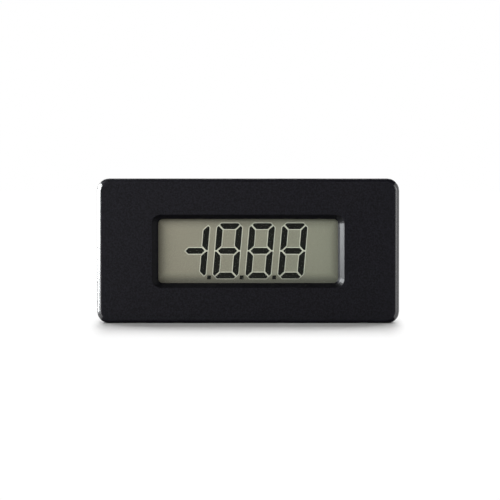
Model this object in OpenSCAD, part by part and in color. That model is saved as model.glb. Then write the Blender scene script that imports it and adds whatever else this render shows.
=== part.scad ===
// Panel meter with a 3 1/2 digit liquid crystal display, in millimetres.
// +Z is up, the display faces -Y, and +X is to the right seen from the front.
// The origin is the centre of the flange's rear face, which seats on the panel.

/* [Bezel] */
// Width of the flange
bezel_w = 72; // [71:0.1:90]
// Height of the flange
bezel_h = 34.4; // [33.5:0.1:44]
// Thickness of the flange
flange_t = 4.5; // [4:0.1:6]
// Radius of the flange's four corners
corner_r = 1.9; // [1.2:0.1:4]
// Radius of the rounded front edge
edge_r = 0.95; // [0.3:0.05:1.15]
// How far the flange overlaps the panel at each side
side_lip = 5; // [4.7:0.1:6]
// How far the flange overlaps the panel above and below
top_lip = 1.8; // [1:0.1:2.2]

/* [Window] */
// Width of the window at the bottom of its bevel
window_w = 42.9; // [34:0.1:44]
// Height of the window at the bottom of its bevel
window_h = 15.3; // [12:0.1:16]
// Corner radius of the window
window_r = 1.1; // [0.5:0.1:2]
// Width of the bevel at the window's sides
bevel_side = 1.55; // [0.8:0.05:2]
// Width of the bevel above and below the window
bevel_top = 1.1; // [0.6:0.05:1.8]
// Depth of the bevel
bevel_depth = 1.2; // [0.6:0.1:1.5]
// Corner radius of the bevel at the front face
bevel_r = 2.1; // [1.2:0.1:3]
// Distance from the front face back to the lens
lens_setback = 1.6; // [1.6:0.1:2]

/* [Body] */
// How far the skirt reaches behind the flange
body_depth = 16; // [15:0.5:24]
// Thickness of the skirt's walls
wall = 1.5; // [1.2:0.1:1.8]
// Corner radius of the skirt
body_r = 1.2; // [0.6:0.1:1.4]
// Radius of the four screw bosses
boss_r = 1.9; // [1.6:0.1:2]
// Distance from the skirt's side wall to a boss's centre
boss_inset_x = 2.3; // [2.3:0.1:2.6]
// Distance from the skirt's upper or lower wall to a boss's centre
boss_inset_z = 2.5; // [2.3:0.1:2.8]
// Thickness of the ribs that join a boss to the walls
rib_t = 0.8; // [0.6:0.1:1.2]
// Chamfer of the skirt's rear edge above and below
skirt_edge = 0.6; // [0.2:0.1:0.8]

/* [Lens and display] */
// Thickness of the window lens
lens_t = 1; // [0.8:0.1:1.2]
// How far the lens reaches past the window on each side
lens_lip = 2; // [1:0.1:2.4]
// Thickness of the front polariser
film_t = 0.2; // [0.1:0.05:0.3]
// Thickness of each glass
glass_t = 0.7; // [0.5:0.02:0.9]
// Gap between the two glasses
cell_gap = 0.15; // [0.12:0.01:0.2]
// How far the front glass reaches past the window at each side
glass_side = 2.9; // [2:0.1:3]
// How far the front glass reaches past the window above and below
glass_top = 3.8; // [3.6:0.1:4]
// Height of the contact ledge, where the rear glass stops short of the front glass
ledge_h = 2.6; // [2.5:0.05:2.8]
// How far the rear glass stops short at each side
ledge_side = 0.8; // [0.5:0.1:1.2]
// Width of the seal between the glasses
seal_w = 1; // [0.6:0.1:1.4]
// Thickness of the rear polariser with its reflector
reflector_t = 0.25; // [0.15:0.05:0.4]
// Thickness of the segments
segment_t = 0.08; // [0.04:0.01:0.09]

/* [Digits] */
// Height of a digit
digit_h = 12.8; // [9:0.1:14]
// Width of a digit
digit_w = 5.75; // [4.5:0.05:6.2]
// Distance from one digit to the next
digit_pitch = 7.78; // [7.5:0.01:8.4]
// How far the row of digits is moved from the window's middle
digit_shift = -0.93; // [-1.5:0.01:1.5]
// Width of a segment
segment_w = 1.2; // [0.8:0.05:1.4]
// Gap between segments
segment_gap = 0.3; // [0.15:0.01:0.4]
// Lean of the digits
slant = 4; // [0:0.5:10]
// Side of a decimal point
point_w = 0.82; // [0.5:0.01:1]
// How steeply the segments meet at a digit's waist
waist_slope = 0.7; // [0.4:0.1:0.9]

/* [Display frame] */
// Thickness of the frame's side walls round the glass
frame_wall = 1.6; // [1.2:0.1:1.7]
// Thickness of the walls between the rear glass and the contact strips
separator_t = 0.7; // [0.5:0.05:0.75]
// Thickness of a contact strip
strip_t = 1.5; // [1.2:0.05:1.55]
// How far a contact strip stops short of the glass at each end
strip_end = 1.2; // [1:0.1:3]

/* [Board] */
// Distance from the flange's rear face to the board's front
board_y = 2.6; // [2.4:0.1:3.4]
// Thickness of the board
board_t = 1.6; // [1:0.1:2]
// How far the leads stand out in front of the board
lead_stub = 0.8; // [0.4:0.1:1.2]

/* [Screws] */
// Radius of a screw's shank
screw_r = 0.9; // [0.7:0.05:1]
// Length of a screw under its head
screw_l = 5; // [4:0.1:5.5]
// Radius of a screw's head
screw_head_r = 1.7; // [1.4:0.05:1.75]
// Thickness of a screw's head
screw_head_t = 1.2; // [0.8:0.1:1.6]
// Radius of the rounding of a screw's head
screw_head_edge = 0.5; // [0.2:0.05:0.6]

/* [Converter chip] */
// Side of the chip's body
chip_w = 10; // [8.8:0.1:12]
// Thickness of the chip's body
chip_t = 2; // [1.4:0.1:2.4]
// How far the chip's sides lean in above and below the leads
chip_draft = 0.18; // [0.1:0.02:0.3]
// Gap under the chip's body
chip_lift = 0.15; // [0.1:0.05:0.3]
// Leads on each side
chip_side_leads = 11; // [5:2:11]
// Distance from one lead to the next
chip_pitch = 0.8; // [0.65:0.05:0.8]
// Width of a lead
chip_lead_w = 0.35; // [0.2:0.05:0.4]
// Thickness of a lead
chip_lead_t = 0.15; // [0.1:0.01:0.2]
// How far a lead reaches from the body
chip_reach = 1.6; // [1.2:0.1:2]

/* [Trimmer] */
// Width of the trimmer's body
trimmer_w = 6.6; // [6:0.1:7]
// Height of the trimmer's body along the board
trimmer_h = 7; // [6.4:0.1:7.4]
// How far the trimmer's body stands behind the board
trimmer_t = 4.9; // [4:0.1:6]
// Chamfer of the trimmer's corners
trimmer_edge = 0.7; // [0.3:0.1:1]
// Radius of the rotor's visible disc
rotor_r = 1.75; // [1.4:0.05:2]
// Radius of the rotor's flange, which the body traps
rotor_flange_r = 2.3; // [2.2:0.05:2.6]
// Thickness of the rotor's disc and of its flange
rotor_t = 0.9; // [0.7:0.05:1.1]
// Width of the screwdriver slot
slot_w = 0.6; // [0.4:0.05:0.8]
// Depth of the screwdriver slot
slot_d = 0.6; // [0.4:0.05:0.7]
// Grid on which the trimmer's leads stand
trimmer_grid = 2.54; // [2.4:0.01:2.6]

/* [Capacitors] */
// Length of a film capacitor
film_cap_l = 7.2; // [6.5:0.1:8]
// Width of a film capacitor
film_cap_w = 3.4; // [2.5:0.1:4]
// How far a film capacitor stands behind the board
film_cap_h = 7; // [5:0.1:8]
// Distance between the leads of a film or disc capacitor
cap_lead_pitch = 5.08; // [5:0.01:5.1]
// Gap under a film capacitor's body, over its feet
film_cap_lift = 0.3; // [0.2:0.1:0.5]
// Gap under the disc capacitor
disc_lift = 0.6; // [0.4:0.1:1]
// Radius of a lead wire
wire_r = 0.3; // [0.2:0.05:0.35]
// Radius of the supply capacitor
supply_cap_r = 2.5; // [2:0.1:3]
// Length of the supply capacitor
supply_cap_h = 8; // [5:0.5:10]
// Distance between the supply capacitor's leads
supply_lead_pitch = 2; // [1.5:0.1:2.5]
// Radius of the disc capacitor
disc_r = 2.8; // [2:0.1:3.2]
// Thickness of the disc capacitor
disc_t = 2; // [1.4:0.1:2.4]

/* [Resistors] */
// Length of a chip resistor
resistor_l = 3.2; // [2:0.1:3.4]
// Width of a chip resistor
resistor_w = 1.6; // [1.2:0.1:1.8]
// Thickness of a chip resistor
resistor_t = 0.6; // [0.4:0.05:0.7]

/* [Header] */
// Pins in the header
header_count = 6; // [2:1:6]
// Distance from one pin to the next
header_pitch = 2.54; // [2:0.01:2.54]
// Side of a square pin
header_pin_w = 0.64; // [0.4:0.01:0.7]
// Width and thickness of the header's block
header_block_w = 2.5; // [2:0.1:3]
// How far the pins stand out of the block
header_pin_l = 6; // [4:0.5:8]
// Chamfer of the block's corners beside each pin
header_edge = 0.35; // [0.2:0.05:0.5]

/* [Clips] */
// Distance from the flange's rear face to the rails and racks
track_y = 4.6; // [4.5:0.1:5]
// Distance between the inner faces of the two rails
rail_span = 10; // [9:0.1:10.4]
// Thickness of a rail's stem
rail_stem_t = 1; // [0.8:0.1:1.2]
// How far a rail's stem stands out of the skirt
rail_stem_h = 1.4; // [1.3:0.02:1.7]
// Width of a rail's lip past its stem
rail_lip_w = 1; // [0.8:0.1:1.2]
// Thickness of a rail's lip
rail_lip_t = 1; // [0.8:0.05:1.05]
// Chamfer of the lips' rear ends, where a clip slides on
rail_lead_in = 0.4; // [0.2:0.05:0.6]
// Width of the rack of teeth
rack_w = 5.6; // [4:0.1:6]
// Distance from one tooth to the next
tooth_pitch = 1.25; // [1:0.05:1.6]
// Height of a tooth
tooth_h = 0.8; // [0.5:0.05:0.9]
// Distance from the flange's rear face to the clip's foot
clip_y = 6.5; // [5.5:0.1:7]
// Length of a clip along the rails
clip_l = 8; // [7.5:0.1:9]
// Thickness of a clip's foot
foot_t = 1.4; // [1:0.1:1.8]
// How far a clip's foot reaches past its channel, above and below
foot_ear = 1; // [0.5:0.1:2]
// Thickness of a clip's outer plate
plate_t = 1.6; // [1.4:0.05:1.7]
// Thickness of a clip's side legs
leg_t = 1.2; // [1:0.1:1.6]
// Thickness of a clip's spring arm
arm_t = 1; // [0.8:0.05:1.2]
// Width of a clip's spring arm
arm_w = 5.4; // [4:0.1:5.8]
// Width of the slots beside the spring arm
arm_slot = 0.6; // [0.5:0.1:0.8]
// Teeth on a clip's pawl
pawl_teeth = 2; // [1:1:2]
// Chamfer of a clip's outer corners
clip_edge = 0.5; // [0.2:0.1:0.8]
// Grip ribs on each side of a clip's outer plate
grip_count = 4; // [2:1:4]
// Distance from one grip rib to the next
grip_pitch = 1.2; // [1:0.1:1.3]
// Radius of a grip rib
grip_r = 0.3; // [0.2:0.05:0.35]

/* [Clearances] */
// Round the lens in its rebate
lens_gap = 0.1; // [0.05:0.05:0.2]
// Between the films, the glasses and the lens
film_gap = 0.03; // [0.02:0.01:0.05]
// Round the glasses in the display frame
pocket_gap = 0.15; // [0.1:0.05:0.25]
// Round a contact strip in its slot
strip_gap = 0.05; // [0.03:0.01:0.08]
// Round the display frame in the skirt and at the bosses
frame_gap = 0.25; // [0.15:0.05:0.3]
// Round the board in the skirt
board_gap = 0.3; // [0.2:0.05:0.4]
// Round leads in the board's holes
hole_gap = 0.1; // [0.05:0.05:0.15]
// Round the screws in the bosses and the rotor in its bore
running_gap = 0.05; // [0.03:0.01:0.08]
// Round the screws in the board
screw_hole_gap = 0.15; // [0.1:0.05:0.3]
// Past the screws' ends in the bosses
screw_end_gap = 0.3; // [0.2:0.1:0.5]
// Between a clip and its rails
slide_gap = 0.2; // [0.15:0.05:0.25]
// Between a clip's inner edge and the skirt
wall_gap = 0.3; // [0.2:0.05:0.35]
// Between the pawl's tips and the rack's tips
pawl_gap = 0.12; // [0.1:0.01:0.2]

/* [Hidden] */
$fn = 48;
// How far cuts run past a face, how far joined solids run into each other, and a thin slab to hull
cut = 1;
bury = 0.5;
skin = 0.01;

// The skirt and its cavity
body_w = bezel_w - 2 * side_lip;
body_h = bezel_h - 2 * top_lip;
cavity_w = body_w - 2 * wall;
cavity_h = body_h - 2 * wall;
cavity_r = max(body_r - wall / 2, 0.3);
boss_x = cavity_w / 2 - boss_inset_x;
boss_z = cavity_h / 2 - boss_inset_z;

// The layers of the display, from the front back
lens_y = lens_setback - flange_t;
cavity_y = lens_y + lens_t;
film_y = cavity_y + film_gap;
front_glass_y = film_y + film_t + film_gap;
cell_y = front_glass_y + glass_t;
rear_glass_y = cell_y + cell_gap;
reflector_y = rear_glass_y + glass_t + film_gap;

// The outlines of the layers
lens_w = window_w + 2 * lens_lip;
lens_h = window_h + 2 * lens_lip;
front_glass_w = window_w + 2 * glass_side;
front_glass_h = window_h + 2 * glass_top;
rear_glass_w = front_glass_w - 2 * ledge_side;
rear_glass_h = front_glass_h - 2 * ledge_h;
film_edge = 0.6;

// The frame round the display and its contact strips
frame_w = front_glass_w + 2 * (pocket_gap + frame_wall);
frame_h = cavity_h - 2 * frame_gap;
strip_z = rear_glass_h / 2 + pocket_gap + separator_t + strip_gap + strip_t / 2;
strip_w = front_glass_w - 2 * strip_end;

// The board and the places of what it carries
board_w = cavity_w - 2 * board_gap;
board_h = cavity_h - 2 * board_gap;
back_y = board_y + board_t;
chip_at = [-9, 0];
trimmer_at = [18.6, 3.6];
integrating_at = [4.5, 6.2];
auto_zero_at = [4.5, 1];
reference_at = [4.5, -4.2];
supply_at = [-20, -3.6];
clock_at = [-20, 4.8];
header_at = [16, -6.6];
resistors_at = concat(
    [for (i = [-2:2]) [6 * i - 4, 10.6]],
    [for (i = [-1:1]) [7 * i - 9, -10.4]]
);

// The disc's centre, and the height at which its leads meet its edge
disc_y = back_y + disc_r + disc_lift;
disc_lead_y = disc_y - 2 * running_gap - sqrt(disc_r * disc_r - pow(cap_lead_pitch / 2 - wire_r, 2));

// The through leads
cap_leads = [for (at = [integrating_at, auto_zero_at, reference_at]) each lead_pair(at, cap_lead_pitch)];
supply_leads = lead_pair(supply_at, supply_lead_pitch);
clock_leads = lead_pair(clock_at, cap_lead_pitch);
trimmer_leads = [for (p = [[-1, -1], [0, 1], [1, -1]]) trimmer_at + trimmer_grid * [p.x, p.y / 2]];
header_leads = [for (i = [0:header_count - 1])
    header_at + [(i - (header_count - 1) / 2) * header_pitch, 0]];

// The tracks and the clips, as distances from the skirt's side wall
wall_x = body_w / 2;
lip_x = rail_stem_h + rail_lip_t;
plate_x = lip_x + slide_gap;
hook_x = rail_stem_h - slide_gap;
clip_x = plate_x + plate_t;
stem_z = rail_span / 2 + rail_stem_t;
lip_z = stem_z + rail_lip_w;
channel_z = lip_z + slide_gap;
clip_z = channel_z + leg_t;
pawl_x = tooth_h + pawl_gap;
rack_teeth = floor((body_depth - track_y) / tooth_pitch);

function lead_pair(at, pitch) = [at - [pitch / 2, 0], at + [pitch / 2, 0]];

// Points of a rectangle with rounded corners, each drawn with the given steps
function round_points(w, h, r, steps = 6) = [
    for (q = [0:3], i = [0:steps])
        let (turn = 90 * (q + i / steps), right = q == 0 || q == 3 ? 1 : -1, up = q < 2 ? 1 : -1)
            [right * (w / 2 - r) + r * cos(turn), up * (h / 2 - r) + r * sin(turn)]
];

// Points of a rectangle with cut corners
function cut_points(w, h, c) = [
    [-w / 2, c - h / 2], [c - w / 2, -h / 2], [w / 2 - c, -h / 2], [w / 2, c - h / 2],
    [w / 2, h / 2 - c], [w / 2 - c, h / 2], [c - w / 2, h / 2], [-w / 2, h / 2 - c],
];

// Leans a point by the digits' slant
function lean(p) = [p.x + p.y * tan(slant), p.y];

module rounded_rect(w, h, r) {
    square([w - 2 * r, h], center = true);
    square([w, h - 2 * r], center = true);
    for (x = [-1, 1], z = [-1, 1])
        translate([x * (w / 2 - r), z * (h / 2 - r)])
            circle(r);
}

// Extrudes an outline seen from the front through the depth from y0 to y1
module along_y(y0, y1) {
    translate([0, y1, 0])
        rotate([90, 0, 0])
            linear_extrude(y1 - y0)
                children();
}

module at_corners(x, z) {
    for (right = [-1, 1], up = [-1, 1])
        translate([right * x, up * z])
            children();
}

// Section through the flange's edge: across the edge and forward
module edge_section(across) {
    difference() {
        square([across, flange_t]);
        translate([across - edge_r, flange_t - edge_r])
            difference() {
                square(edge_r + cut);
                circle(edge_r);
            }
    }
}

// The flange, with its front edge rounded all the way round
module flange() {
    straight_w = bezel_w - 2 * corner_r;
    straight_h = bezel_h - 2 * corner_r;
    rotate([90, 0, 0]) {
        rotate([90, 0, 90])
            linear_extrude(straight_w, center = true)
                for (up = [0, 1])
                    mirror([up, 0])
                        edge_section(bezel_h / 2);
        for (side = [0, 180])
            rotate(side)
                translate([straight_w / 2, 0, 0])
                    rotate([90, 0, 0])
                        linear_extrude(straight_h, center = true)
                            edge_section(corner_r);
        for (q = [0:3])
            translate([(q == 0 || q == 3 ? 1 : -1) * straight_w / 2, (q < 2 ? 1 : -1) * straight_h / 2, 0])
                rotate(90 * q)
                    rotate_extrude(angle = 90)
                        edge_section(corner_r);
    }
}

// The window, which opens out to the front over its bevel
module window_cut() {
    over = (bevel_depth + cut) / bevel_depth;
    along_y(-flange_t - cut, cavity_y + cut)
        polygon(round_points(window_w, window_h, window_r));
    hull() {
        along_y(bevel_depth - flange_t - skin, bevel_depth - flange_t)
            polygon(round_points(window_w, window_h, window_r));
        along_y(-flange_t - cut - skin, -flange_t - cut)
            polygon(round_points(window_w + 2 * bevel_side * over, window_h + 2 * bevel_top * over,
                window_r + (bevel_r - window_r) * over));
    }
}

// One boss with the ribs that tie it to both walls
module boss(right, up) {
    difference() {
        union() {
            along_y(cavity_y - bury, board_y)
                translate([right * boss_x, up * boss_z])
                    circle(boss_r);
            along_y(cavity_y - bury, board_y - rib_t) {
                translate([right * (boss_x + cavity_w / 2 + bury) / 2, up * boss_z])
                    square([cavity_w / 2 + bury - boss_x, rib_t], center = true);
                translate([right * boss_x, up * (boss_z + cavity_h / 2 + bury) / 2])
                    square([rib_t, cavity_h / 2 + bury - boss_z], center = true);
            }
        }
        along_y(back_y - screw_l - screw_end_gap, board_y + cut)
            translate([right * boss_x, up * boss_z])
                circle(screw_r + running_gap);
    }
}

// The two rails and the rack between them, on the right side wall
module track() {
    along_y(track_y, body_depth)
        for (up = [0, 1])
            mirror([0, up])
                translate([wall_x, rail_span / 2]) {
                    translate([-bury, 0])
                        square([rail_stem_h + bury, rail_stem_t]);
                    translate([rail_stem_h, 0])
                        square([rail_lip_t, rail_stem_t + rail_lip_w]);
                }
    linear_extrude(rack_w, center = true)
        translate([wall_x, track_y])
            polygon(concat(
                [[-bury, 0]],
                [for (i = [0:rack_teeth - 1]) each [[tooth_h, i * tooth_pitch], [0, (i + 1) * tooth_pitch]]],
                [[-bury, rack_teeth * tooth_pitch]]
            ));
}

// Cuts the skirt's rear edges above and below, and the rear ends of the rails' lips
module lead_in_cuts() {
    for (up = [0, 1])
        mirror([0, 0, up])
            rotate([90, 0, 90])
                linear_extrude(body_w + 2 * cut, center = true)
                    translate([body_depth, body_h / 2])
                        polygon([[-skirt_edge, 0], [0, -skirt_edge], [cut, -skirt_edge], [cut, cut],
                            [-skirt_edge, cut]]);
    for (side = [0, 1])
        mirror([side, 0, 0])
            linear_extrude(2 * (lip_z + cut), center = true)
                translate([wall_x + lip_x, body_depth])
                    polygon([[-rail_lead_in, 0], [0, -1.5 * rail_lead_in], [cut, -1.5 * rail_lead_in],
                        [cut, cut], [-rail_lead_in, cut]]);
}

module bezel() {
    color("#1c1c20") {
        difference() {
            union() {
                flange();
                along_y(-bury, body_depth)
                    rounded_rect(body_w, body_h, body_r);
                for (side = [0, 1])
                    mirror([side, 0, 0])
                        track();
            }
            along_y(cavity_y, body_depth + cut)
                rounded_rect(cavity_w, cavity_h, cavity_r);
            along_y(lens_y, cavity_y + cut)
                square([lens_w + 2 * lens_gap, lens_h + 2 * lens_gap], center = true);
            window_cut();
            lead_in_cuts();
        }
        for (right = [-1, 1], up = [-1, 1])
            boss(right, up);
    }
}

module window_lens() {
    color("#d8e0e4", 0.3)
        along_y(lens_y, lens_y + lens_t)
            square([lens_w, lens_h], center = true);
}

module front_polariser() {
    color("#8a8d7c", 0.5)
        along_y(film_y, film_y + film_t)
            square([front_glass_w - 2 * film_edge, rear_glass_h], center = true);
}

module front_glass() {
    color("#cdd6d2", 0.4)
        along_y(front_glass_y, cell_y)
            square([front_glass_w, front_glass_h], center = true);
}

module cell_seal() {
    color("#c9c3a4")
        along_y(cell_y, rear_glass_y)
            difference() {
                square([rear_glass_w, rear_glass_h], center = true);
                square([rear_glass_w - 2 * seal_w, rear_glass_h - 2 * seal_w], center = true);
            }
}

// The segments of one digit by their usual letters: a bar, a side or the middle, flipped into place
module segment(letter) {
    w = digit_w / 2;
    h = digit_h / 2;
    t = segment_w;
    g = segment_gap;
    bar = [[g - w, h], [w - g, h], [w - t - g, h - t], [g + t - w, h - t]];
    side = [[w, h - 2 * g], [w, g], [w - t, g + waist_slope * t], [w - t, h - 2 * g - t]];
    middle = [for (k = [1, -1]) each
        [[k * (w - t / 2 - g / 2), 0], [k * (w - t - g / 2), -k * t / 2], [-k * (w - t - g / 2), -k * t / 2]]];
    outline = letter == "g" ? middle : letter == "a" || letter == "d" ? bar : side;
    right = letter == "e" || letter == "f" ? -1 : 1;
    up = letter == "c" || letter == "d" || letter == "e" ? -1 : 1;
    polygon([for (p = outline) lean([right * p.x, up * p.y])]);
}

// The first place shows a minus and a one, and the others show a full eight
module display_segments() {
    color("#17160f")
        along_y(cell_y + film_gap / 2, cell_y + film_gap / 2 + segment_t)
            for (place = [0:3])
                translate([digit_shift + (place - 1.5) * digit_pitch, 0]) {
                    for (letter = place == 0 ? "bcg" : "abcdefg")
                        segment(letter);
                    if (place < 3)
                        polygon([for (p = [[0, 0], [1, 0], [1, 1], [0, 1]])
                            lean([digit_pitch / 2 + (p.x - 0.5) * point_w, p.y * point_w - digit_h / 2])]);
                }
}

module rear_glass() {
    color("#cdd6d2", 0.4)
        along_y(rear_glass_y, rear_glass_y + glass_t)
            square([rear_glass_w, rear_glass_h], center = true);
}

module rear_polariser() {
    color("#a3a695")
        along_y(reflector_y, reflector_y + reflector_t)
            square([rear_glass_w - 2 * film_edge, rear_glass_h - 2 * film_edge], center = true);
}

// Holds the front glass in a pocket, with slots for the contact strips
module display_frame() {
    color("#e6e4dc")
        difference() {
            along_y(cavity_y, board_y)
                square([frame_w, frame_h], center = true);
            along_y(cavity_y - cut, cell_y)
                square([front_glass_w + 2 * pocket_gap, front_glass_h + 2 * pocket_gap], center = true);
            along_y(cavity_y - cut, board_y + cut) {
                square([rear_glass_w + 2 * pocket_gap, rear_glass_h + 2 * pocket_gap], center = true);
                for (up = [-1, 1])
                    translate([0, up * strip_z])
                        square([strip_w + 2 * strip_gap, strip_t + 2 * strip_gap], center = true);
                at_corners(boss_x, boss_z)
                    circle(boss_r + frame_gap);
            }
        }
}

module contact_strip(up) {
    color("#3a3a3c")
        along_y(cell_y, board_y)
            translate([0, up * strip_z])
                square([strip_w, strip_t], center = true);
}

module circuit_board() {
    color("#2c5a38")
        along_y(board_y, back_y)
            difference() {
                square([board_w, board_h], center = true);
                at_corners(boss_x, boss_z)
                    circle(screw_r + screw_hole_gap);
                for (at = concat(cap_leads, supply_leads, clock_leads, trimmer_leads))
                    translate(at)
                        circle(wire_r + hole_gap);
                for (at = header_leads)
                    translate(at)
                        circle(header_pin_w / sqrt(2) + hole_gap);
            }
}

// Pointed screws with rounded heads and crossed recesses
module board_screws() {
    recess_l = 1.3 * screw_head_r;
    recess_w = screw_head_r / 4;
    recess_d = 2 * screw_head_t / 3;
    core_r = screw_head_r - screw_head_edge;
    core_t = screw_head_t - screw_head_edge;
    color("#b9bcc0")
        for (right = [-1, 1], up = [-1, 1])
            translate([right * boss_x, back_y, up * boss_z])
                rotate([-90, 0, 0])
                    difference() {
                        rotate_extrude() {
                            polygon([[0, -screw_l], [screw_r, screw_r - screw_l], [screw_r, 0],
                                [screw_head_r, 0], [screw_head_r, core_t], [core_r, core_t],
                                [core_r, screw_head_t], [0, screw_head_t]]);
                            translate([core_r, core_t])
                                intersection() {
                                    circle(screw_head_edge);
                                    square(screw_head_edge);
                                }
                        }
                        translate([0, 0, screw_head_t - recess_d])
                            linear_extrude(recess_d + cut) {
                                square([recess_l, recess_w], center = true);
                                square([recess_w, recess_l], center = true);
                            }
                    }
}

// The chip's section: its sides lean in above and below the band that holds the leads
module chip_section() {
    half = chip_w / 2;
    band = [chip_t / 2 - chip_lead_t, chip_t / 2 + chip_lead_t];
    linear_extrude(chip_w, center = true)
        polygon([[chip_draft - half, 0], [half - chip_draft, 0], [half, band[0]], [half, band[1]],
            [half - chip_draft, chip_t], [chip_draft - half, chip_t], [-half, band[1]], [-half, band[0]]]);
}

module converter_chip() {
    corner = 0.8;
    mark_r = 0.6;
    mark_d = 0.15;
    mark_inset = 2;
    half = chip_w / 2;
    color("#222224")
        translate([chip_at.x, back_y + chip_lift, chip_at.y])
            difference() {
                intersection() {
                    chip_section();
                    rotate([0, 90, 0])
                        chip_section();
                    along_y(0, chip_t)
                        polygon([[-half, -half], [half, -half], [half, half], [corner - half, half],
                            [-half, half - corner]]);
                }
                along_y(chip_t - mark_d, chip_t + cut)
                    translate([mark_inset - half, half - mark_inset])
                        circle(mark_r);
            }
}

// A lead bent from the body's side down to a foot on the board, seen from its side
module chip_lead() {
    exit_y = chip_lift + chip_t / 2;
    knee = chip_reach / 3;
    t = chip_lead_t;
    linear_extrude(chip_lead_w, center = true)
        polygon([[0, exit_y], [knee, exit_y], [2 * knee - t, t], [2 * knee - t, 0], [chip_reach, 0],
            [chip_reach, t], [2 * knee, t], [knee + t, exit_y + t], [0, exit_y + t]]);
}

module chip_leads() {
    color("#c2c5c8")
        translate([chip_at.x, back_y, chip_at.y])
            for (side = [0:3], i = [0:chip_side_leads - 1])
                rotate([0, 90 * side, 0])
                    translate([chip_w / 2, 0, (i - (chip_side_leads - 1) / 2) * chip_pitch])
                        chip_lead();
}

// The body traps the rotor's flange in a chamber under its opening
module trimmer_body() {
    color("#2a55a8")
        difference() {
            along_y(back_y, back_y + trimmer_t)
                translate(trimmer_at)
                    polygon(cut_points(trimmer_w, trimmer_h, trimmer_edge));
            along_y(back_y + trimmer_t - rotor_t - running_gap, back_y + trimmer_t + cut)
                translate(trimmer_at)
                    circle(rotor_r + running_gap);
            along_y(back_y + trimmer_t - 2 * rotor_t - 3 * running_gap,
                back_y + trimmer_t - rotor_t - running_gap)
                translate(trimmer_at)
                    circle(rotor_flange_r + running_gap);
        }
}

module trimmer_rotor() {
    top = back_y + trimmer_t - running_gap;
    slot_l = 1.7 * rotor_r;
    color("#ece9df")
        difference() {
            union() {
                along_y(top - rotor_t - 2 * running_gap, top)
                    translate(trimmer_at)
                        circle(rotor_r);
                along_y(top - 2 * rotor_t - running_gap, top - rotor_t - running_gap)
                    translate(trimmer_at)
                        circle(rotor_flange_r);
            }
            along_y(top - slot_d, top + cut)
                translate(trimmer_at) {
                    square([slot_l, slot_w], center = true);
                    translate([0, rotor_r / 2])
                        square([slot_w / 2, rotor_r / 2], center = true);
                }
        }
}

// Round lead wires from y0 back to y1 at each place
module wires(places, y0, y1) {
    color("#c8cacc")
        along_y(y0, y1)
            for (at = places)
                translate(at)
                    circle(wire_r);
}

// A box capacitor on four small feet
module film_capacitor(at) {
    foot = 0.8;
    edge = 0.4;
    color("#b3342c") {
        along_y(back_y + film_cap_lift, back_y + film_cap_h)
            translate(at)
                rounded_rect(film_cap_l, film_cap_w, edge);
        along_y(back_y, back_y + film_cap_lift + edge)
            translate(at)
                at_corners(film_cap_l / 2 - foot, film_cap_w / 2 - foot)
                    square(foot, center = true);
    }
}

// An electrolytic can with its crimped groove and a recessed end
module supply_capacitor() {
    r = supply_cap_r;
    edge = 0.2;
    groove_l = 0.8;
    groove_d = 0.25;
    groove_at = supply_cap_h - 1.6;
    color("#23346e")
        translate([supply_at.x, back_y + supply_cap_h, supply_at.y])
            rotate([90, 0, 0])
                rotate_extrude()
                    polygon([[0, edge], [r - 3 * edge, edge], [r - 2 * edge, 0], [r - edge, 0], [r, edge],
                        [r, groove_at - groove_l / 2], [r - groove_d, groove_at], [r, groove_at + groove_l / 2],
                        [r, supply_cap_h - edge], [r - edge, supply_cap_h], [0, supply_cap_h]]);
}

// A coated disc that stands on its edge, on its two leads
module clock_capacitor() {
    color("#c8842c")
        translate([clock_at.x, disc_y, clock_at.y])
            rotate_extrude() {
                translate([0, -disc_t / 2])
                    square([disc_r - disc_t / 2, disc_t]);
                intersection() {
                    translate([disc_r - disc_t / 2, 0])
                        circle(disc_t / 2);
                    translate([0, -disc_t])
                        square([disc_r, 2 * disc_t]);
                }
            }
}

module chip_resistors() {
    color("#1f1f21")
        along_y(back_y, back_y + resistor_t)
            for (at = resistors_at)
                translate(at)
                    square([resistor_l, resistor_w], center = true);
}

module header_block() {
    color("#1a1a1c")
        along_y(back_y, back_y + header_block_w)
            difference() {
                for (at = header_leads)
                    translate(at)
                        polygon(cut_points(header_pitch, header_block_w, header_edge));
                for (at = header_leads)
                    translate(at)
                        square(header_pin_w + 2 * film_gap, center = true);
            }
}

// A pin from one side, tapered at both ends
module pin_side() {
    w = header_pin_w / 2;
    front = board_y - lead_stub;
    rear = back_y + header_block_w + header_pin_l;
    linear_extrude(header_pin_w, center = true)
        polygon([[-w / 2, front], [w / 2, front], [w, front + w], [w, rear - w], [w / 2, rear],
            [-w / 2, rear], [-w, rear - w], [-w, front + w]]);
}

module header_pins() {
    color("#c9a24a")
        for (at = header_leads)
            translate([at.x, 0, at.y])
                intersection() {
                    pin_side();
                    rotate([0, 90, 0])
                        pin_side();
                }
}

// The clip's channel, which hooks under the lips of both rails, seen along the rails
module channel_section(ear) {
    half = clip_z + ear;
    difference() {
        polygon([[wall_gap, -half], [clip_x - clip_edge, -half], [clip_x, clip_edge - half],
            [clip_x, half - clip_edge], [clip_x - clip_edge, half], [wall_gap, half]]);
        translate([wall_gap - cut, -stem_z - slide_gap])
            square([hook_x - wall_gap + 2 * cut, 2 * (stem_z + slide_gap)]);
        translate([hook_x, -channel_z])
            square([plate_x - hook_x, 2 * channel_z]);
    }
}

// The pawl's teeth face the rack: sloped toward the panel and square toward the rear
module pawl() {
    end_y = clip_y + clip_l;
    root_x = pawl_x + tooth_h;
    linear_extrude(min(arm_w, rack_w), center = true)
        polygon(concat(
            [[plate_x + arm_t / 2, end_y - pawl_teeth * tooth_pitch]],
            [for (i = [pawl_teeth:-1:1]) each [[root_x, end_y - i * tooth_pitch],
                [pawl_x, end_y - (i - 1) * tooth_pitch]]],
            [[plate_x + arm_t / 2, end_y]]
        ));
}

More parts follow.
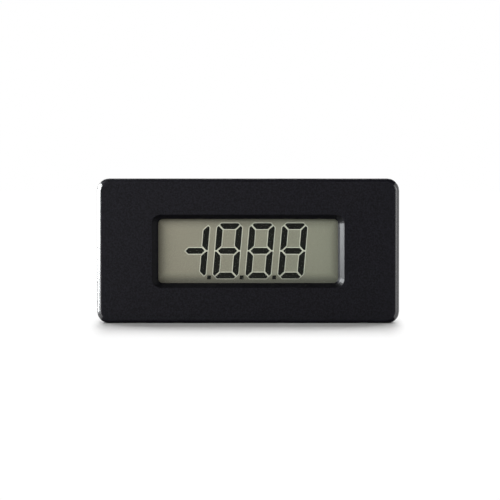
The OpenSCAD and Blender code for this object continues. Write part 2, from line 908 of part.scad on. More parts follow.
// Grip ribs on the outer plate, above and below the spring arm
module grip_ribs() {
    inner = arm_w / 2 + 2 * arm_slot;
    outer = clip_z - 2 * clip_edge;
    for (up = [0, 1], i = [0:grip_count - 1])
        mirror([0, 0, up])
            translate([clip_x, clip_y + clip_l - grip_pitch * (i + 0.8), inner])
                cylinder(r = grip_r, h = outer - inner);
}

// One clip on the right side wall: a foot for the panel, a channel for the rails and a sprung pawl
module clip() {
    arm_y = clip_y + foot_t + arm_slot;
    tab_l = 0.6;
    translate([wall_x, 0, 0]) {
        difference() {
            union() {
                along_y(clip_y, clip_y + foot_t)
                    channel_section(foot_ear);
                along_y(clip_y, clip_y + clip_l)
                    channel_section(0);
            }
            translate([plate_x - cut, arm_y, -arm_w / 2 - arm_slot])
                cube([plate_t + 2 * cut, clip_l, arm_w + 2 * arm_slot]);
        }
        translate([plate_x, arm_y - bury, -arm_w / 2])
            cube([arm_t, clip_y + clip_l - arm_y + bury, arm_w]);
        translate([plate_x, clip_y + clip_l, -arm_w / 2])
            cube([plate_t, tab_l, arm_w]);
        translate([plate_x + plate_t / 2, clip_y + clip_l + tab_l, -arm_w / 2])
            cylinder(r = plate_t / 2, h = arm_w);
        grip_ribs();
        pawl();
    }
}

bezel();
window_lens();
front_polariser();
front_glass();
cell_seal();
display_segments();
rear_glass();
rear_polariser();
display_frame();
contact_strip(1);  // upper_contact_strip
contact_strip(-1);  // lower_contact_strip
circuit_board();
board_screws();
converter_chip();
chip_leads();
trimmer_body();
trimmer_rotor();
wires(trimmer_leads, board_y - lead_stub, back_y);  // trimmer_pins
film_capacitor(integrating_at);  // integrating_capacitor
film_capacitor(auto_zero_at);  // auto_zero_capacitor
film_capacitor(reference_at);  // reference_capacitor
wires(cap_leads, board_y - lead_stub, back_y + film_cap_lift);  // capacitor_leads
supply_capacitor();
wires(supply_leads, board_y - lead_stub, back_y);  // supply_capacitor_leads
clock_capacitor();
wires(clock_leads, board_y - lead_stub, disc_lead_y);  // clock_capacitor_leads
chip_resistors();
header_block();
header_pins();
color("#26262a") mirror([1, 0, 0]) clip();  // left_clip
color("#26262a") clip();  // right_clip
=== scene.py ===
"""Dresses the panel meter and stands it on a pale studio floor."""

import logging
import math
from collections.abc import Iterable
from dataclasses import dataclass
from enum import Enum
from functools import cache, cached_property, partial, reduce
from typing import ClassVar

import bmesh
import bpy
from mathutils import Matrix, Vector
from mathutils.geometry import convex_hull_2d


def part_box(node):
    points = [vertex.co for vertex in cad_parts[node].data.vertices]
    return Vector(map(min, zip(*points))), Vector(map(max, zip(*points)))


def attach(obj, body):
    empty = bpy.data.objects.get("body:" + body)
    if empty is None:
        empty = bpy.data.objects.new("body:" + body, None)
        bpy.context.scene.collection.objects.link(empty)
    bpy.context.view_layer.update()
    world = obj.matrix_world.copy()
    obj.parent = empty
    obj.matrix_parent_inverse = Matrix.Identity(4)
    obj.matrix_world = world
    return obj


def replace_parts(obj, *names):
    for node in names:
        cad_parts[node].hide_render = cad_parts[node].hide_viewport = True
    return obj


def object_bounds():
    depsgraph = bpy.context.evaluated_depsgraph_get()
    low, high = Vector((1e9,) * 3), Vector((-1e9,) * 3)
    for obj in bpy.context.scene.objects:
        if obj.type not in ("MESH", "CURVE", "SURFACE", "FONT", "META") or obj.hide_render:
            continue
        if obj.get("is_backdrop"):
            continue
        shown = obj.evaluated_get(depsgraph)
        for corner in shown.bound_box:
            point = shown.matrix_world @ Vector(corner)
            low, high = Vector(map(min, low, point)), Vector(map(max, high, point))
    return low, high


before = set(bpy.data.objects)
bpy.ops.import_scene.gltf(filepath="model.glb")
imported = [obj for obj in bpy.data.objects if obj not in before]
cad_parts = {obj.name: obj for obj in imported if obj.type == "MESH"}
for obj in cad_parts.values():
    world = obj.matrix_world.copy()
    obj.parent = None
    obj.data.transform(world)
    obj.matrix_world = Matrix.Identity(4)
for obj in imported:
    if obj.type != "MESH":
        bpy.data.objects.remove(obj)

LOG = logging.getLogger("panel_meter")
MM = 0.001
METER = "meter"

Colour = tuple[float, float, float]
Point = tuple[float, float, float]
Flat = tuple[float, float]
Outline = list[Flat]
Faces = list[tuple[int, ...]]
Socket = bpy.types.NodeSocket
Material = bpy.types.Material


class Axis(Enum):
    """Directions that a pattern can run along, as the output of a Separate XYZ node."""

    X = 0
    Y = 1
    Z = 2


class Tree:
    """A node tree under construction."""

    def __init__(self, tree: bpy.types.NodeTree) -> None:
        """Args:
            tree: The tree that gets the nodes.
        """
        self.tree = tree

    @classmethod
    def of(cls, owner: bpy.types.ID) -> "Tree":
        """Returns the emptied node tree of a material or world."""
        owner.use_nodes = True
        owner.node_tree.nodes.clear()
        return cls(owner.node_tree)

    def add(self, kind: str, inputs: dict | None = None, **settings: object) -> bpy.types.Node:
        """Adds a node.

        Args:
            kind: The node's type.
            inputs: Values or sockets for its inputs, by name or index.
            settings: The node's own properties.

        Returns:
            The new node.
        """
        node = self.tree.nodes.new(kind)
        for name, value in settings.items():
            setattr(node, name, value)
        for key, value in (inputs or {}).items():
            if isinstance(value, Socket):
                self.tree.links.new(value, node.inputs[key])
            else:
                node.inputs[key].default_value = value
        return node

    def out(self, kind: str, inputs: dict | None = None, **settings: object) -> Socket:
        """Adds a node as add does, and returns its first output."""
        return self.add(kind, inputs, **settings).outputs[0]

    def group(self, group: bpy.types.NodeTree, values: dict | None = None) -> bpy.types.Node:
        """Adds a node that holds a shared group."""
        return self.add("ShaderNodeGroup", values, node_tree=group)

    def math(self, operation: str, *values: object, clamp: bool = False) -> Socket:
        """Adds a Math node.

        Args:
            operation: What it does.
            values: Its inputs in order, as numbers or sockets.
            clamp: Whether the result is kept between 0 and 1.

        Returns:
            Its result.
        """
        return self.out("ShaderNodeMath", dict(enumerate(values)), operation=operation, use_clamp=clamp)

    def times(self, *values: object) -> Socket:
        """Returns the product of numbers and sockets."""
        return reduce(lambda one, other: self.math("MULTIPLY", one, other), values)

    def most(self, *values: object) -> Socket:
        """Returns the largest of numbers and sockets."""
        return reduce(lambda one, other: self.math("MAXIMUM", one, other), values)

    def past(self, axis: Axis, half: object, middle: float = 0.0) -> Socket:
        """Returns how far past a distance from a middle the point on the piece is, along an axis."""
        off = self.math("SUBTRACT", self.along(axis), middle)
        return self.math("SUBTRACT", self.math("ABSOLUTE", off), half)

    def ramp(self, value: object, low: float, high: float, out_low: float = 0.0,
             out_high: float = 1.0) -> Socket:
        """Carries a value smoothly from one range to another.

        Args:
            value: The socket that varies.
            low: Where the result is out_low.
            high: Where the result is out_high.
            out_low: The result at low.
            out_high: The result at high.

        Returns:
            The result.
        """
        return self.out("ShaderNodeMapRange", {0: value, 1: low, 2: high, 3: out_low, 4: out_high},
                        interpolation_type="SMOOTHSTEP")

    def blend(self, factor: object, first: object, second: object) -> Socket:
        """Mixes two colours.

        Args:
            factor: How much of the second shows.
            first: A colour or a socket.
            second: A colour or a socket.

        Returns:
            The mixed colour.
        """
        first = first if isinstance(first, Socket) else (*first, 1.0)
        second = second if isinstance(second, Socket) else (*second, 1.0)
        node = self.add("ShaderNodeMix", {0: factor, 6: first, 7: second}, data_type="RGBA")
        return node.outputs[2]

    def place(self) -> Socket:
        """Returns the point on the piece, in metres."""
        return self.add("ShaderNodeTexCoord").outputs["Object"]

    def along(self, axis: Axis) -> Socket:
        """Returns how far along an axis the point on the piece is, in metres."""
        return self.split(self.place())[axis.value]

    def split(self, vector: object) -> tuple[Socket, ...]:
        """Returns a vector's three parts."""
        return tuple(self.add("ShaderNodeSeparateXYZ", {0: vector}).outputs)

    def join(self, x: object = 0.0, y: object = 0.0, z: object = 0.0) -> Socket:
        """Returns a vector made of three parts."""
        return self.out("ShaderNodeCombineXYZ", {0: x, 1: y, 2: z})

    def length(self, x: object, y: object) -> Socket:
        """Returns the length of a flat vector."""
        return self.add("ShaderNodeVectorMath", {0: self.join(x, y)}, operation="LENGTH").outputs["Value"]

    def principled(self, inputs: dict) -> Socket:
        """Returns a Principled surface."""
        return self.out("ShaderNodeBsdfPrincipled", inputs)

    def cover(self, share: object, under: bpy.types.Node, over: bpy.types.Node) -> Socket:
        """Returns a surface of which a share is covered by another."""
        return self.out("ShaderNodeMixShader", {0: share, 1: under.outputs[0], 2: over.outputs[0]})

    def noise(self, scale: float, detail: float = 2.0, vector: object = None) -> Socket:
        """Returns noise between 0 and 1, with its scale in features per metre."""
        inputs = {"Vector": vector or self.place(), "Scale": scale, "Detail": detail}
        return self.add("ShaderNodeTexNoise", inputs).outputs["Fac"]

    def bump(self, height: object, depth: float) -> Socket:
        """Returns the normal of a bumped surface.

        Args:
            height: The height between 0 and 1.
            depth: How deep the bumps are, in metres.
        """
        return self.out("ShaderNodeBump", {"Height": height, "Distance": depth, "Strength": 1.0})


class Groups:
    """Shader node groups that several finishes share, each built once."""

    @staticmethod
    def start(name: str, inputs: dict[str, float], outputs: tuple[str, ...]) -> tuple[Tree, dict, dict]:
        """Starts a group.

        Args:
            name: The group's name.
            inputs: Each input's name and default.
            outputs: The outputs' names.

        Returns:
            The tree, its input sockets by name, and its output sockets by name.
        """
        group = bpy.data.node_groups.new(name, "ShaderNodeTree")
        add = partial(group.interface.new_socket, socket_type="NodeSocketFloat")
        for key, value in inputs.items():
            add(key, in_out="INPUT").default_value = value
        for key in outputs:
            add(key, in_out="OUTPUT")
        tree = Tree(group)
        return tree, tree.add("NodeGroupInput").outputs, tree.add("NodeGroupOutput").inputs

    @staticmethod
    @cache
    def grain() -> bpy.types.NodeTree:
        """Returns the grain of moulded plastic: its height, its shade and broad patches of gloss."""
        tree, given, result = Groups.start(
            "moulded_grain", {"Scale": 4000.0, "Patch Scale": 60.0}, ("Height", "Shade", "Patches"))
        fine = tree.noise(given["Scale"], 3.0)
        cells = tree.add("ShaderNodeTexVoronoi", {"Vector": tree.place(), "Scale": given["Scale"]},
                         feature="SMOOTH_F1")
        height = tree.math("ADD", tree.times(fine, 0.6), tree.times(cells.outputs["Distance"], 0.4))
        tree.tree.links.new(height, result["Height"])
        tree.tree.links.new(tree.ramp(fine, 0.25, 0.75), result["Shade"])
        tree.tree.links.new(tree.ramp(tree.noise(given["Patch Scale"], 3.0), 0.3, 0.7), result["Patches"])
        return tree.tree

    @staticmethod
    @cache
    def pane() -> bpy.types.NodeTree:
        """Returns a mask of a soft-edged rectangle seen from the front, about the origin."""
        tree, given, result = Groups.start(
            "front_pane", {"Half Width": 0.02, "Half Height": 0.01, "Softness": 0.0005}, ("Inside",))
        edges = (tree.math("DIVIDE", tree.past(axis, given[half]), given["Softness"])
                 for axis, half in ((Axis.X, "Half Width"), (Axis.Z, "Half Height")))
        tree.tree.links.new(tree.ramp(tree.most(*edges), 0.5, -0.5), result["Inside"])
        return tree.tree

    @staticmethod
    @cache
    def stripes() -> bpy.types.NodeTree:
        """Returns a mask of layers across X, Y or Z, chosen by weights."""
        weights = {"Across X": 0.0, "Across Y": 0.0, "Across Z": 1.0}
        tree, given, result = Groups.start("layer_stripes", {"Pitch": 0.0002, **weights}, ("Layer",))
        parts = [tree.times(part, given[key]) for part, key in zip(tree.split(tree.place()), weights)]
        total = reduce(lambda one, other: tree.math("ADD", one, other), parts)
        wave = tree.math("SINE", tree.times(tree.math("DIVIDE", total, given["Pitch"]), math.tau))
        tree.tree.links.new(tree.ramp(wave, -0.3, 0.3), result["Layer"])
        return tree.tree


@dataclass(frozen=True)
class Finish:
    """A finish; each kind below fills in its surface."""

    see_through: ClassVar[bool] = False
    name: str

    @cached_property
    def material(self) -> Material:
        """Returns the finish's material, built the first time it is asked for."""
        material = bpy.data.materials.new(self.name)
        tree = Tree.of(material)
        tree.add("ShaderNodeOutputMaterial", {"Surface": self.surface(tree)})
        return material

    def dress(self, *nodes: str) -> None:
        """Gives CAD nodes this finish.

        Args:
            nodes: The nodes' names.
        """
        for name in nodes:
            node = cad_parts[name]
            for slot in node.material_slots:
                slot.material = self.material
            if self.see_through:
                node.visible_shadow = node.visible_diffuse = False
            LOG.info("%s has the finish %s", name, self.name)

    def surface(self, tree: Tree) -> Socket:
        """Returns the shader that covers the surface."""
        raise NotImplementedError


@dataclass(frozen=True)
class Plastic(Finish):
    """Moulded plastic with a fine grain and faint patches of gloss."""

    colour: Colour = (0.02, 0.02, 0.02)
    roughness: float = 0.45
    roughness_spread: float = 0.08
    colour_spread: float = 0.25
    grain_scale: float = 4000.0
    grain_depth: float = 0.012 * MM
    patch_scale: float = 60.0
    gloss: float = 0.5
    coat: float = 0.0
    coat_roughness: float = 0.08

    def grain(self, tree: Tree) -> bpy.types.Node:
        """Returns the grain group with this finish's values."""
        return tree.group(Groups.grain(), {"Scale": self.grain_scale, "Patch Scale": self.patch_scale})

    def base(self, tree: Tree, grain: bpy.types.Node) -> Socket:
        """Returns the base colour, a little darker in the grain's valleys."""
        low = tuple(c * (1 - self.colour_spread) for c in self.colour)
        high = tuple(c * (1 + self.colour_spread) for c in self.colour)
        return tree.blend(grain.outputs["Shade"], low, high)

    def rough(self, tree: Tree, grain: bpy.types.Node) -> Socket:
        """Returns the roughness."""
        return tree.ramp(grain.outputs["Patches"], 0.0, 1.0, self.roughness - self.roughness_spread,
                         self.roughness + self.roughness_spread)

    def surface(self, tree: Tree) -> Socket:
        """Returns the plastic's shader."""
        grain = self.grain(tree)
        inputs = {
            "Base Color": self.base(tree, grain),
            "Roughness": self.rough(tree, grain),
            "Normal": tree.bump(grain.outputs["Height"], self.grain_depth),
            "Specular IOR Level": self.gloss,
            "Coat Weight": self.coat,
            "Coat Roughness": self.coat_roughness,
        }
        return tree.principled(inputs)


@dataclass(frozen=True)
class BezelPlastic(Plastic):
    """The bezel's plastic: textured, with the window's bevel polished in the mould and painted shade in its
    recess.
    """

    bevel_half_w: float = 23.05 * MM
    bevel_half_h: float = 8.8 * MM
    bevel_soft: float = 0.06 * MM
    bevel_front: Flat = (-4.40 * MM, -4.46 * MM)
    foot_front: Flat = (-3.68 * MM, -3.58 * MM)
    coat_roughness: float = 0.2
    coat_ior: float = 1.8
    bevel_shine: float = 0.065
    bevel_foot: float = 0.2
    # How much painted shade darkens the bevel and the window's recess behind the front face.
    recess_painted_shade: float = 0.55
    turn_x: float = 33.2 * MM
    turn_z: float = 14.4 * MM
    edge_at: float = 1.95 * MM
    edge_soft: float = 0.15 * MM
    edge_turn: float = 0.4
    edge_side: Flat = (0.8 * MM, 1.3 * MM)
    edge_front: Flat = (-3.0 * MM, -3.5 * MM)

    def recess(self, tree: Tree) -> Socket:
        """Returns a mask of the bevel and what lies behind it."""
        pane = tree.group(Groups.pane(), {
            "Half Width": self.bevel_half_w, "Half Height": self.bevel_half_h, "Softness": self.bevel_soft})
        front = tree.ramp(tree.along(Axis.Y), *self.bevel_front, 1.0, 0.0)
        return tree.times(pane.outputs["Inside"], front)

    def ends(self, tree: Tree) -> Socket:
        """Returns a mask of the two ends' rounded edges, fading out part of the way round the corners."""
        across, up = (tree.most(tree.past(axis, turn), 0.0)
                      for axis, turn in ((Axis.X, self.turn_x), (Axis.Z, self.turn_z)))
        rim = tree.ramp(tree.length(across, up), self.edge_at - self.edge_soft, self.edge_at)
        side = tree.math("SUBTRACT", across, tree.times(up, self.edge_turn))
        front = tree.ramp(tree.along(Axis.Y), *self.edge_front)
        return tree.times(rim, tree.ramp(side, *self.edge_side), front)

    def surface(self, tree: Tree) -> Socket:
        """Returns the plastic's shader, smoother on the bevel and on the two ends' rounded edges, with
        painted shade in the recess.
        """
        grain = self.grain(tree)
        recess = self.recess(tree)
        bevel = tree.times(recess, tree.ramp(tree.along(Axis.Y), *self.foot_front, 1.0, self.bevel_foot))
        base = self.base(tree, grain)
        # Painted shade: the base colour is darkened where the recess lies in the bezel's shade.
        recess_shaded_base = tree.blend(self.recess_painted_shade, base, (0.0, 0.0, 0.0))
        ends = self.ends(tree)
        height = tree.times(grain.outputs["Height"], tree.math("SUBTRACT", 1.0, tree.most(bevel, ends)))
        inputs = {
            "Base Color": tree.blend(recess, base, recess_shaded_base),
            "Roughness": self.rough(tree, grain),
            "Normal": tree.bump(height, self.grain_depth),
            "Specular IOR Level": self.gloss,
            "Coat Weight": tree.most(ends, tree.times(bevel, self.bevel_shine)),
            "Coat Roughness": self.coat_roughness,
            "Coat IOR": self.coat_ior,
        }
        return tree.principled(inputs)


@dataclass(frozen=True)
class Metal(Finish):
    """Plated metal with faint drawn streaks and dull patches."""

    colour: Colour = (0.7, 0.71, 0.72)
    roughness: float = 0.28
    streak: Axis = Axis.Y
    dull_share: float = 0.72

    def surface(self, tree: Tree) -> Socket:
        """Returns the metal's shader."""
        stretch = [200.0 if axis is self.streak else 3000.0 for axis in Axis]
        scaled = tree.add("ShaderNodeVectorMath", {0: tree.place(), 1: stretch}, operation="MULTIPLY")
        streaks = tree.noise(1.0, 2.0, scaled.outputs[0])
        patches = tree.noise(900.0, 3.0)
        dull = tuple(c * self.dull_share for c in self.colour)
        inputs = {
            "Base Color": tree.blend(tree.ramp(patches, 0.35, 0.7), self.colour, dull),
            "Metallic": 1.0,
            "Roughness": tree.ramp(tree.times(streaks, patches), 0.1, 0.45, self.roughness - 0.1,
                                   self.roughness + 0.14),
            "Normal": tree.bump(streaks, 0.004 * MM),
        }
        return tree.principled(inputs)


@dataclass(frozen=True)
class ClearSheet(Finish):
    """A thin clear sheet that lets lamps through and mirrors a little."""

    see_through: ClassVar[bool] = True
    tint: Colour = (0.97, 0.985, 0.98)
    coating: float = 0.0275
    ior: float = 1.4
    roughness: float = 0.03

    def surface(self, tree: Tree) -> Socket:
        """Returns the sheet's shader, which mirrors only where a face is seen from outside."""
        wear = tree.ramp(tree.noise(400.0, 4.0), 0.3, 0.75, self.roughness, self.roughness + 0.05)
        gloss = tree.add("ShaderNodeBsdfAnisotropic", {"Color": (1, 1, 1, 1), "Roughness": wear})
        clear = tree.add("ShaderNodeBsdfTransparent", {"Color": (*self.tint, 1.0)})
        fresnel = tree.out("ShaderNodeFresnel", {"IOR": self.ior})
        outside = tree.math("SUBTRACT", 1.0, tree.add("ShaderNodeNewGeometry").outputs["Backfacing"])
        share = tree.times(tree.math("SUBTRACT", fresnel, self.coating, clamp=True), outside)
        return tree.cover(share, clear, gloss)


@dataclass(frozen=True)
class FrontFilm(Finish):
    """The front polariser: a film that greys what lies under it."""

    see_through: ClassVar[bool] = True
    colour: Colour = (0.30, 0.31, 0.25)
    cover: float = 0.008

    def surface(self, tree: Tree) -> Socket:
        """Returns the film's shader."""
        speck = tree.ramp(tree.noise(9000.0, 1.0), 0.3, 0.7, 0.9, 1.1)
        colour = tree.add("ShaderNodeMix", {0: 1.0, 6: (*self.colour, 1.0), 7: speck}, data_type="RGBA",
                          blend_type="MULTIPLY")
        matte = tree.add("ShaderNodeBsdfDiffuse", {"Color": colour.outputs[2]})
        clear = tree.add("ShaderNodeBsdfTransparent", {"Color": (0.94, 0.95, 0.92, 1.0)})
        cover = tree.ramp(tree.noise(700.0, 2.0), 0.2, 0.8, self.cover * 0.95, self.cover * 1.05)
        return tree.cover(cover, clear, matte)


@dataclass(frozen=True)
class Ground(Finish):
    """A layer of the display: warm grey at the left, greener at the right, faintly mottled; the lighter left
    is painted light.
    """

    # Painted light: the left colour is lighter than the right, as if lit from the left.
    left: Colour = (0.36, 0.335, 0.27)
    right: Colour = (0.27, 0.285, 0.22)
    half_w: float = 21.5 * MM
    # Painted shade: the layer darkens from the clear middle to the shaded edges, by edge_shade at the sides
    # and top and by foot_shade at the bottom, where the window's recess shades it.
    clear_half_w: float = 19.3 * MM
    shaded_half_w: float = 21.5 * MM
    clear_half_h: float = 4.9 * MM
    shaded_half_h: float = 7.7 * MM
    edge_shade: float = 0.4
    foot_shade: float = 0.62
    mottle: float = 0.88

    def surface(self, tree: Tree) -> Socket:
        """Returns the layer's shader, darker toward the edges with painted shade, where the window's recess
        shades it.
        """
        # Painted light: lighter at the left, running to the right colour.
        across = tree.ramp(tree.along(Axis.X), -self.half_w, self.half_w)
        fibre = tree.noise(2500.0, 3.0)
        base = tree.blend(across, self.left, self.right)
        low, high = (tuple(c * self.mottle for c in side) for side in (self.left, self.right))
        darker = tree.blend(across, low, high)
        mottled = tree.blend(tree.ramp(fibre, 0.3, 0.7), darker, base)
        aside = tree.ramp(tree.math("ABSOLUTE", tree.along(Axis.X)), self.clear_half_w, self.shaded_half_w)
        above = tree.ramp(tree.along(Axis.Z), self.clear_half_h, self.shaded_half_h)
        below = tree.ramp(tree.along(Axis.Z), -self.clear_half_h, -self.shaded_half_h, 0.0, self.foot_shade)
        # Painted shade toward the edges, where the window's recess shades the display.
        shade = tree.most(below, tree.times(tree.most(aside, above), self.edge_shade))
        inputs = {
            "Base Color": tree.blend(shade, mottled, (0.0, 0.0, 0.0)),
            "Roughness": tree.ramp(fibre, 0.2, 0.8, 0.5, 0.7),
            "Normal": tree.bump(fibre, 0.01 * MM),
            "Specular IOR Level": 0.3,
        }
        return tree.principled(inputs)


@dataclass(frozen=True)
class BoardLaminate(Plastic):
    """Solder mask on the board's faces, bare glass-fibre laminate on its edges."""

    edge: Colour = (0.42, 0.36, 0.18)
    ply: float = 0.2 * MM

    def surface(self, tree: Tree) -> Socket:
        """Returns the board's shader."""
        grain = self.grain(tree)
        normal = tree.add("ShaderNodeNewGeometry").outputs["True Normal"]
        facing = tree.math("ABSOLUTE", tree.split(normal)[1])
        face = tree.ramp(facing, 0.4, 0.6)
        weights = {"Pitch": self.ply, "Across Y": 1.0, "Across Z": 0.0}
        layer = tree.group(Groups.stripes(), weights).outputs[0]
        edge = tree.blend(layer, self.edge, tuple(c * 0.7 for c in self.edge))
        inputs = {
            "Base Color": tree.blend(face, edge, self.base(tree, grain)),
            "Roughness": self.rough(tree, grain),
            "Normal": tree.bump(grain.outputs["Height"], self.grain_depth),
            "Specular IOR Level": self.gloss,
        }
        return tree.principled(inputs)


@dataclass(frozen=True)
class StripRubber(Plastic):
    """A contact strip: conducting and insulating rubber in fine layers along its length."""

    light: Colour = (0.16, 0.16, 0.17)
    pitch: float = 0.36 * MM

    def base(self, tree: Tree, grain: bpy.types.Node) -> Socket:
        """Returns the layers' colours."""
        weights = {"Pitch": self.pitch, "Across X": 1.0, "Across Z": 0.0}
        layer = tree.group(Groups.stripes(), weights).outputs[0]
        return tree.blend(layer, self.colour, self.light)


@dataclass(frozen=True)
class Sleeve(Plastic):
    """The supply capacitor's sleeve, with a pale stripe down its negative side."""

    stripe: Colour = (0.62, 0.66, 0.72)
    centre_x: float = -20.0 * MM
    stripe_half_w: float = 0.75 * MM
    centre_z: float = -3.6 * MM
    stripe_end_y: float = 11.7 * MM

    def base(self, tree: Tree, grain: bpy.types.Node) -> Socket:
        """Returns the sleeve's colour with its stripe."""
        beside = tree.ramp(tree.past(Axis.Z, self.stripe_half_w, self.centre_z), 0.05 * MM, -0.05 * MM)
        side = tree.ramp(tree.along(Axis.X), self.centre_x - 0.1 * MM, self.centre_x + 0.1 * MM, 1.0, 0.0)
        below = tree.ramp(tree.along(Axis.Y), self.stripe_end_y, self.stripe_end_y + 0.1 * MM, 1.0, 0.0)
        return tree.blend(tree.times(beside, side, below), super().base(tree, grain), self.stripe)


class Forge:
    """Makes pieces in place, out of plain lists of points and faces."""

    @staticmethod
    def link(name: str, data: bpy.types.ID) -> bpy.types.Object:
        """Returns a new object in the scene that holds a mesh, a light or a camera."""
        made = bpy.data.objects.new(name, data)
        bpy.context.scene.collection.objects.link(made)
        return made

    @staticmethod
    def spread(node: str) -> tuple[Flat, Flat]:
        """Returns the middle and the size of a node's box, across and up."""
        low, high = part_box(node)
        return ((low.x + high.x) / 2, (low.z + high.z) / 2), (high.x - low.x, high.z - low.z)

    @staticmethod
    def piece(name: str, points: list[Point], faces: Faces, finish: Finish,
              slot: str, smooth: bool = False) -> bpy.types.Object:
        """Makes a piece that rides on the meter.

        Args:
            name: The piece's name.
            points: Its points, in metres.
            faces: Its faces, as indices of points.
            finish: Its finish.
            slot: Not used.
            smooth: Whether its faces are shaded smooth.

        Returns:
            The piece.
        """
        mesh = bpy.data.meshes.new(name)
        mesh.from_pydata(points, [], faces)
        mesh.materials.append(finish.material)
        shape = bmesh.new()
        shape.from_mesh(mesh)
        bmesh.ops.recalc_face_normals(shape, faces=shape.faces)
        shape.to_mesh(mesh)
        shape.free()
        mesh.polygons.foreach_set("use_smooth", [smooth] * len(mesh.polygons))
        made = Forge.link(name, mesh)
        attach(made, METER)
        LOG.info("%s has %d faces", name, len(mesh.polygons))
        return made

    @staticmethod
    def prisms(outlines: list[Outline], y0: float, y1: float
               ) -> tuple[list[Point], Faces]:
        """Returns the points and faces of outlines seen from the front, carried through a depth.

        Args:
            outlines: Each outline's points across and up, in metres.
            y0: The depth of the front faces.
            y1: The depth of the rear faces.
        """
        points: list[Point] = []
        faces: Faces = []
        for outline in outlines:
            first, count = len(points), len(outline)
            points += [(x, y, z) for y in (y0, y1) for x, z in outline]
            faces.append(tuple(range(first, first + count)))
            faces.append(tuple(range(first + 2 * count - 1, first + count - 1, -1)))
            for i in range(count):
                j = (i + 1) % count
                faces.append((first + i, first + count + i, first + count + j, first + j))
        return points, faces

    @staticmethod
    def rounded(width: float, height: float, radius: float, centre: Flat = (0.0, 0.0),
                steps: int = 5) -> Outline:
        """Returns the outline of a rectangle with rounded corners.

        Args:
            width: Its size across.
            height: Its size up.
            radius: Its corner radius.
            centre: Its centre.
            steps: The steps round each corner.
        """
        outline = []
        for quarter, (right, up) in enumerate(((1, 1), (-1, 1), (-1, -1), (1, -1))):
            for step in range(steps + 1):
                turn = math.radians(90 * (quarter + step / steps))
                outline.append((centre[0] + right * (width / 2 - radius) + radius * math.cos(turn),
                                centre[1] + up * (height / 2 - radius) + radius * math.sin(turn)))
        return outline

    @staticmethod
    def islands(node: str) -> list[list[Vector]]:
        """Returns the points of each separate solid of a CAD node.

        Args:
            node: The node's name.
        """
        shape = bmesh.new()
        shape.from_mesh(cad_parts[node].data)
        bmesh.ops.remove_doubles(shape, verts=shape.verts, dist=1e-7)
        left, found = set(shape.verts), []
        while left:
            queue, group = [left.pop()], []
            while queue:
                vertex = queue.pop()
                group.append(vertex.co.copy())
                for edge in vertex.link_edges:
                    other = edge.other_vert(vertex)
                    if other in left:
                        left.remove(other)
                        queue.append(other)
            found.append(group)
        shape.free()
        return sorted(found, key=lambda group: (round(min(p.x for p in group), 6), min(p.z for p in group)))

    @staticmethod
    def grown_hull(points: Outline, margin: float) -> Outline:
        """Returns the convex outline round points, moved outward.

        Args:
            points: Points across and up.
            margin: How far the outline's sides are moved.
        """
        hull = [points[i] for i in convex_hull_2d([Vector(p) for p in points])]
        area = sum(a[0] * b[1] - b[0] * a[1] for a, b in zip(hull, hull[1:] + hull[:1]))
        if area < 0:
            hull.reverse()
        sides = []
        for a, b in zip(hull, hull[1:] + hull[:1]):
            along = (Vector(b) - Vector(a)).normalized()
            out = Vector((along.y, -along.x)) * margin
            if (Vector(b) - Vector(a)).length > 1e-6:
                sides.append((Vector(a) + out, along))
        grown = []
        for (p, u), (q, v) in zip(sides[-1:] + sides[:-1], sides):
            cross = u.x * v.y - u.y * v.x
            if abs(cross) > 1e-3:
                reach = ((q - p).x * v.y - (q - p).y * v.x) / cross
                grown.append(tuple(p + reach * u))
        return grown


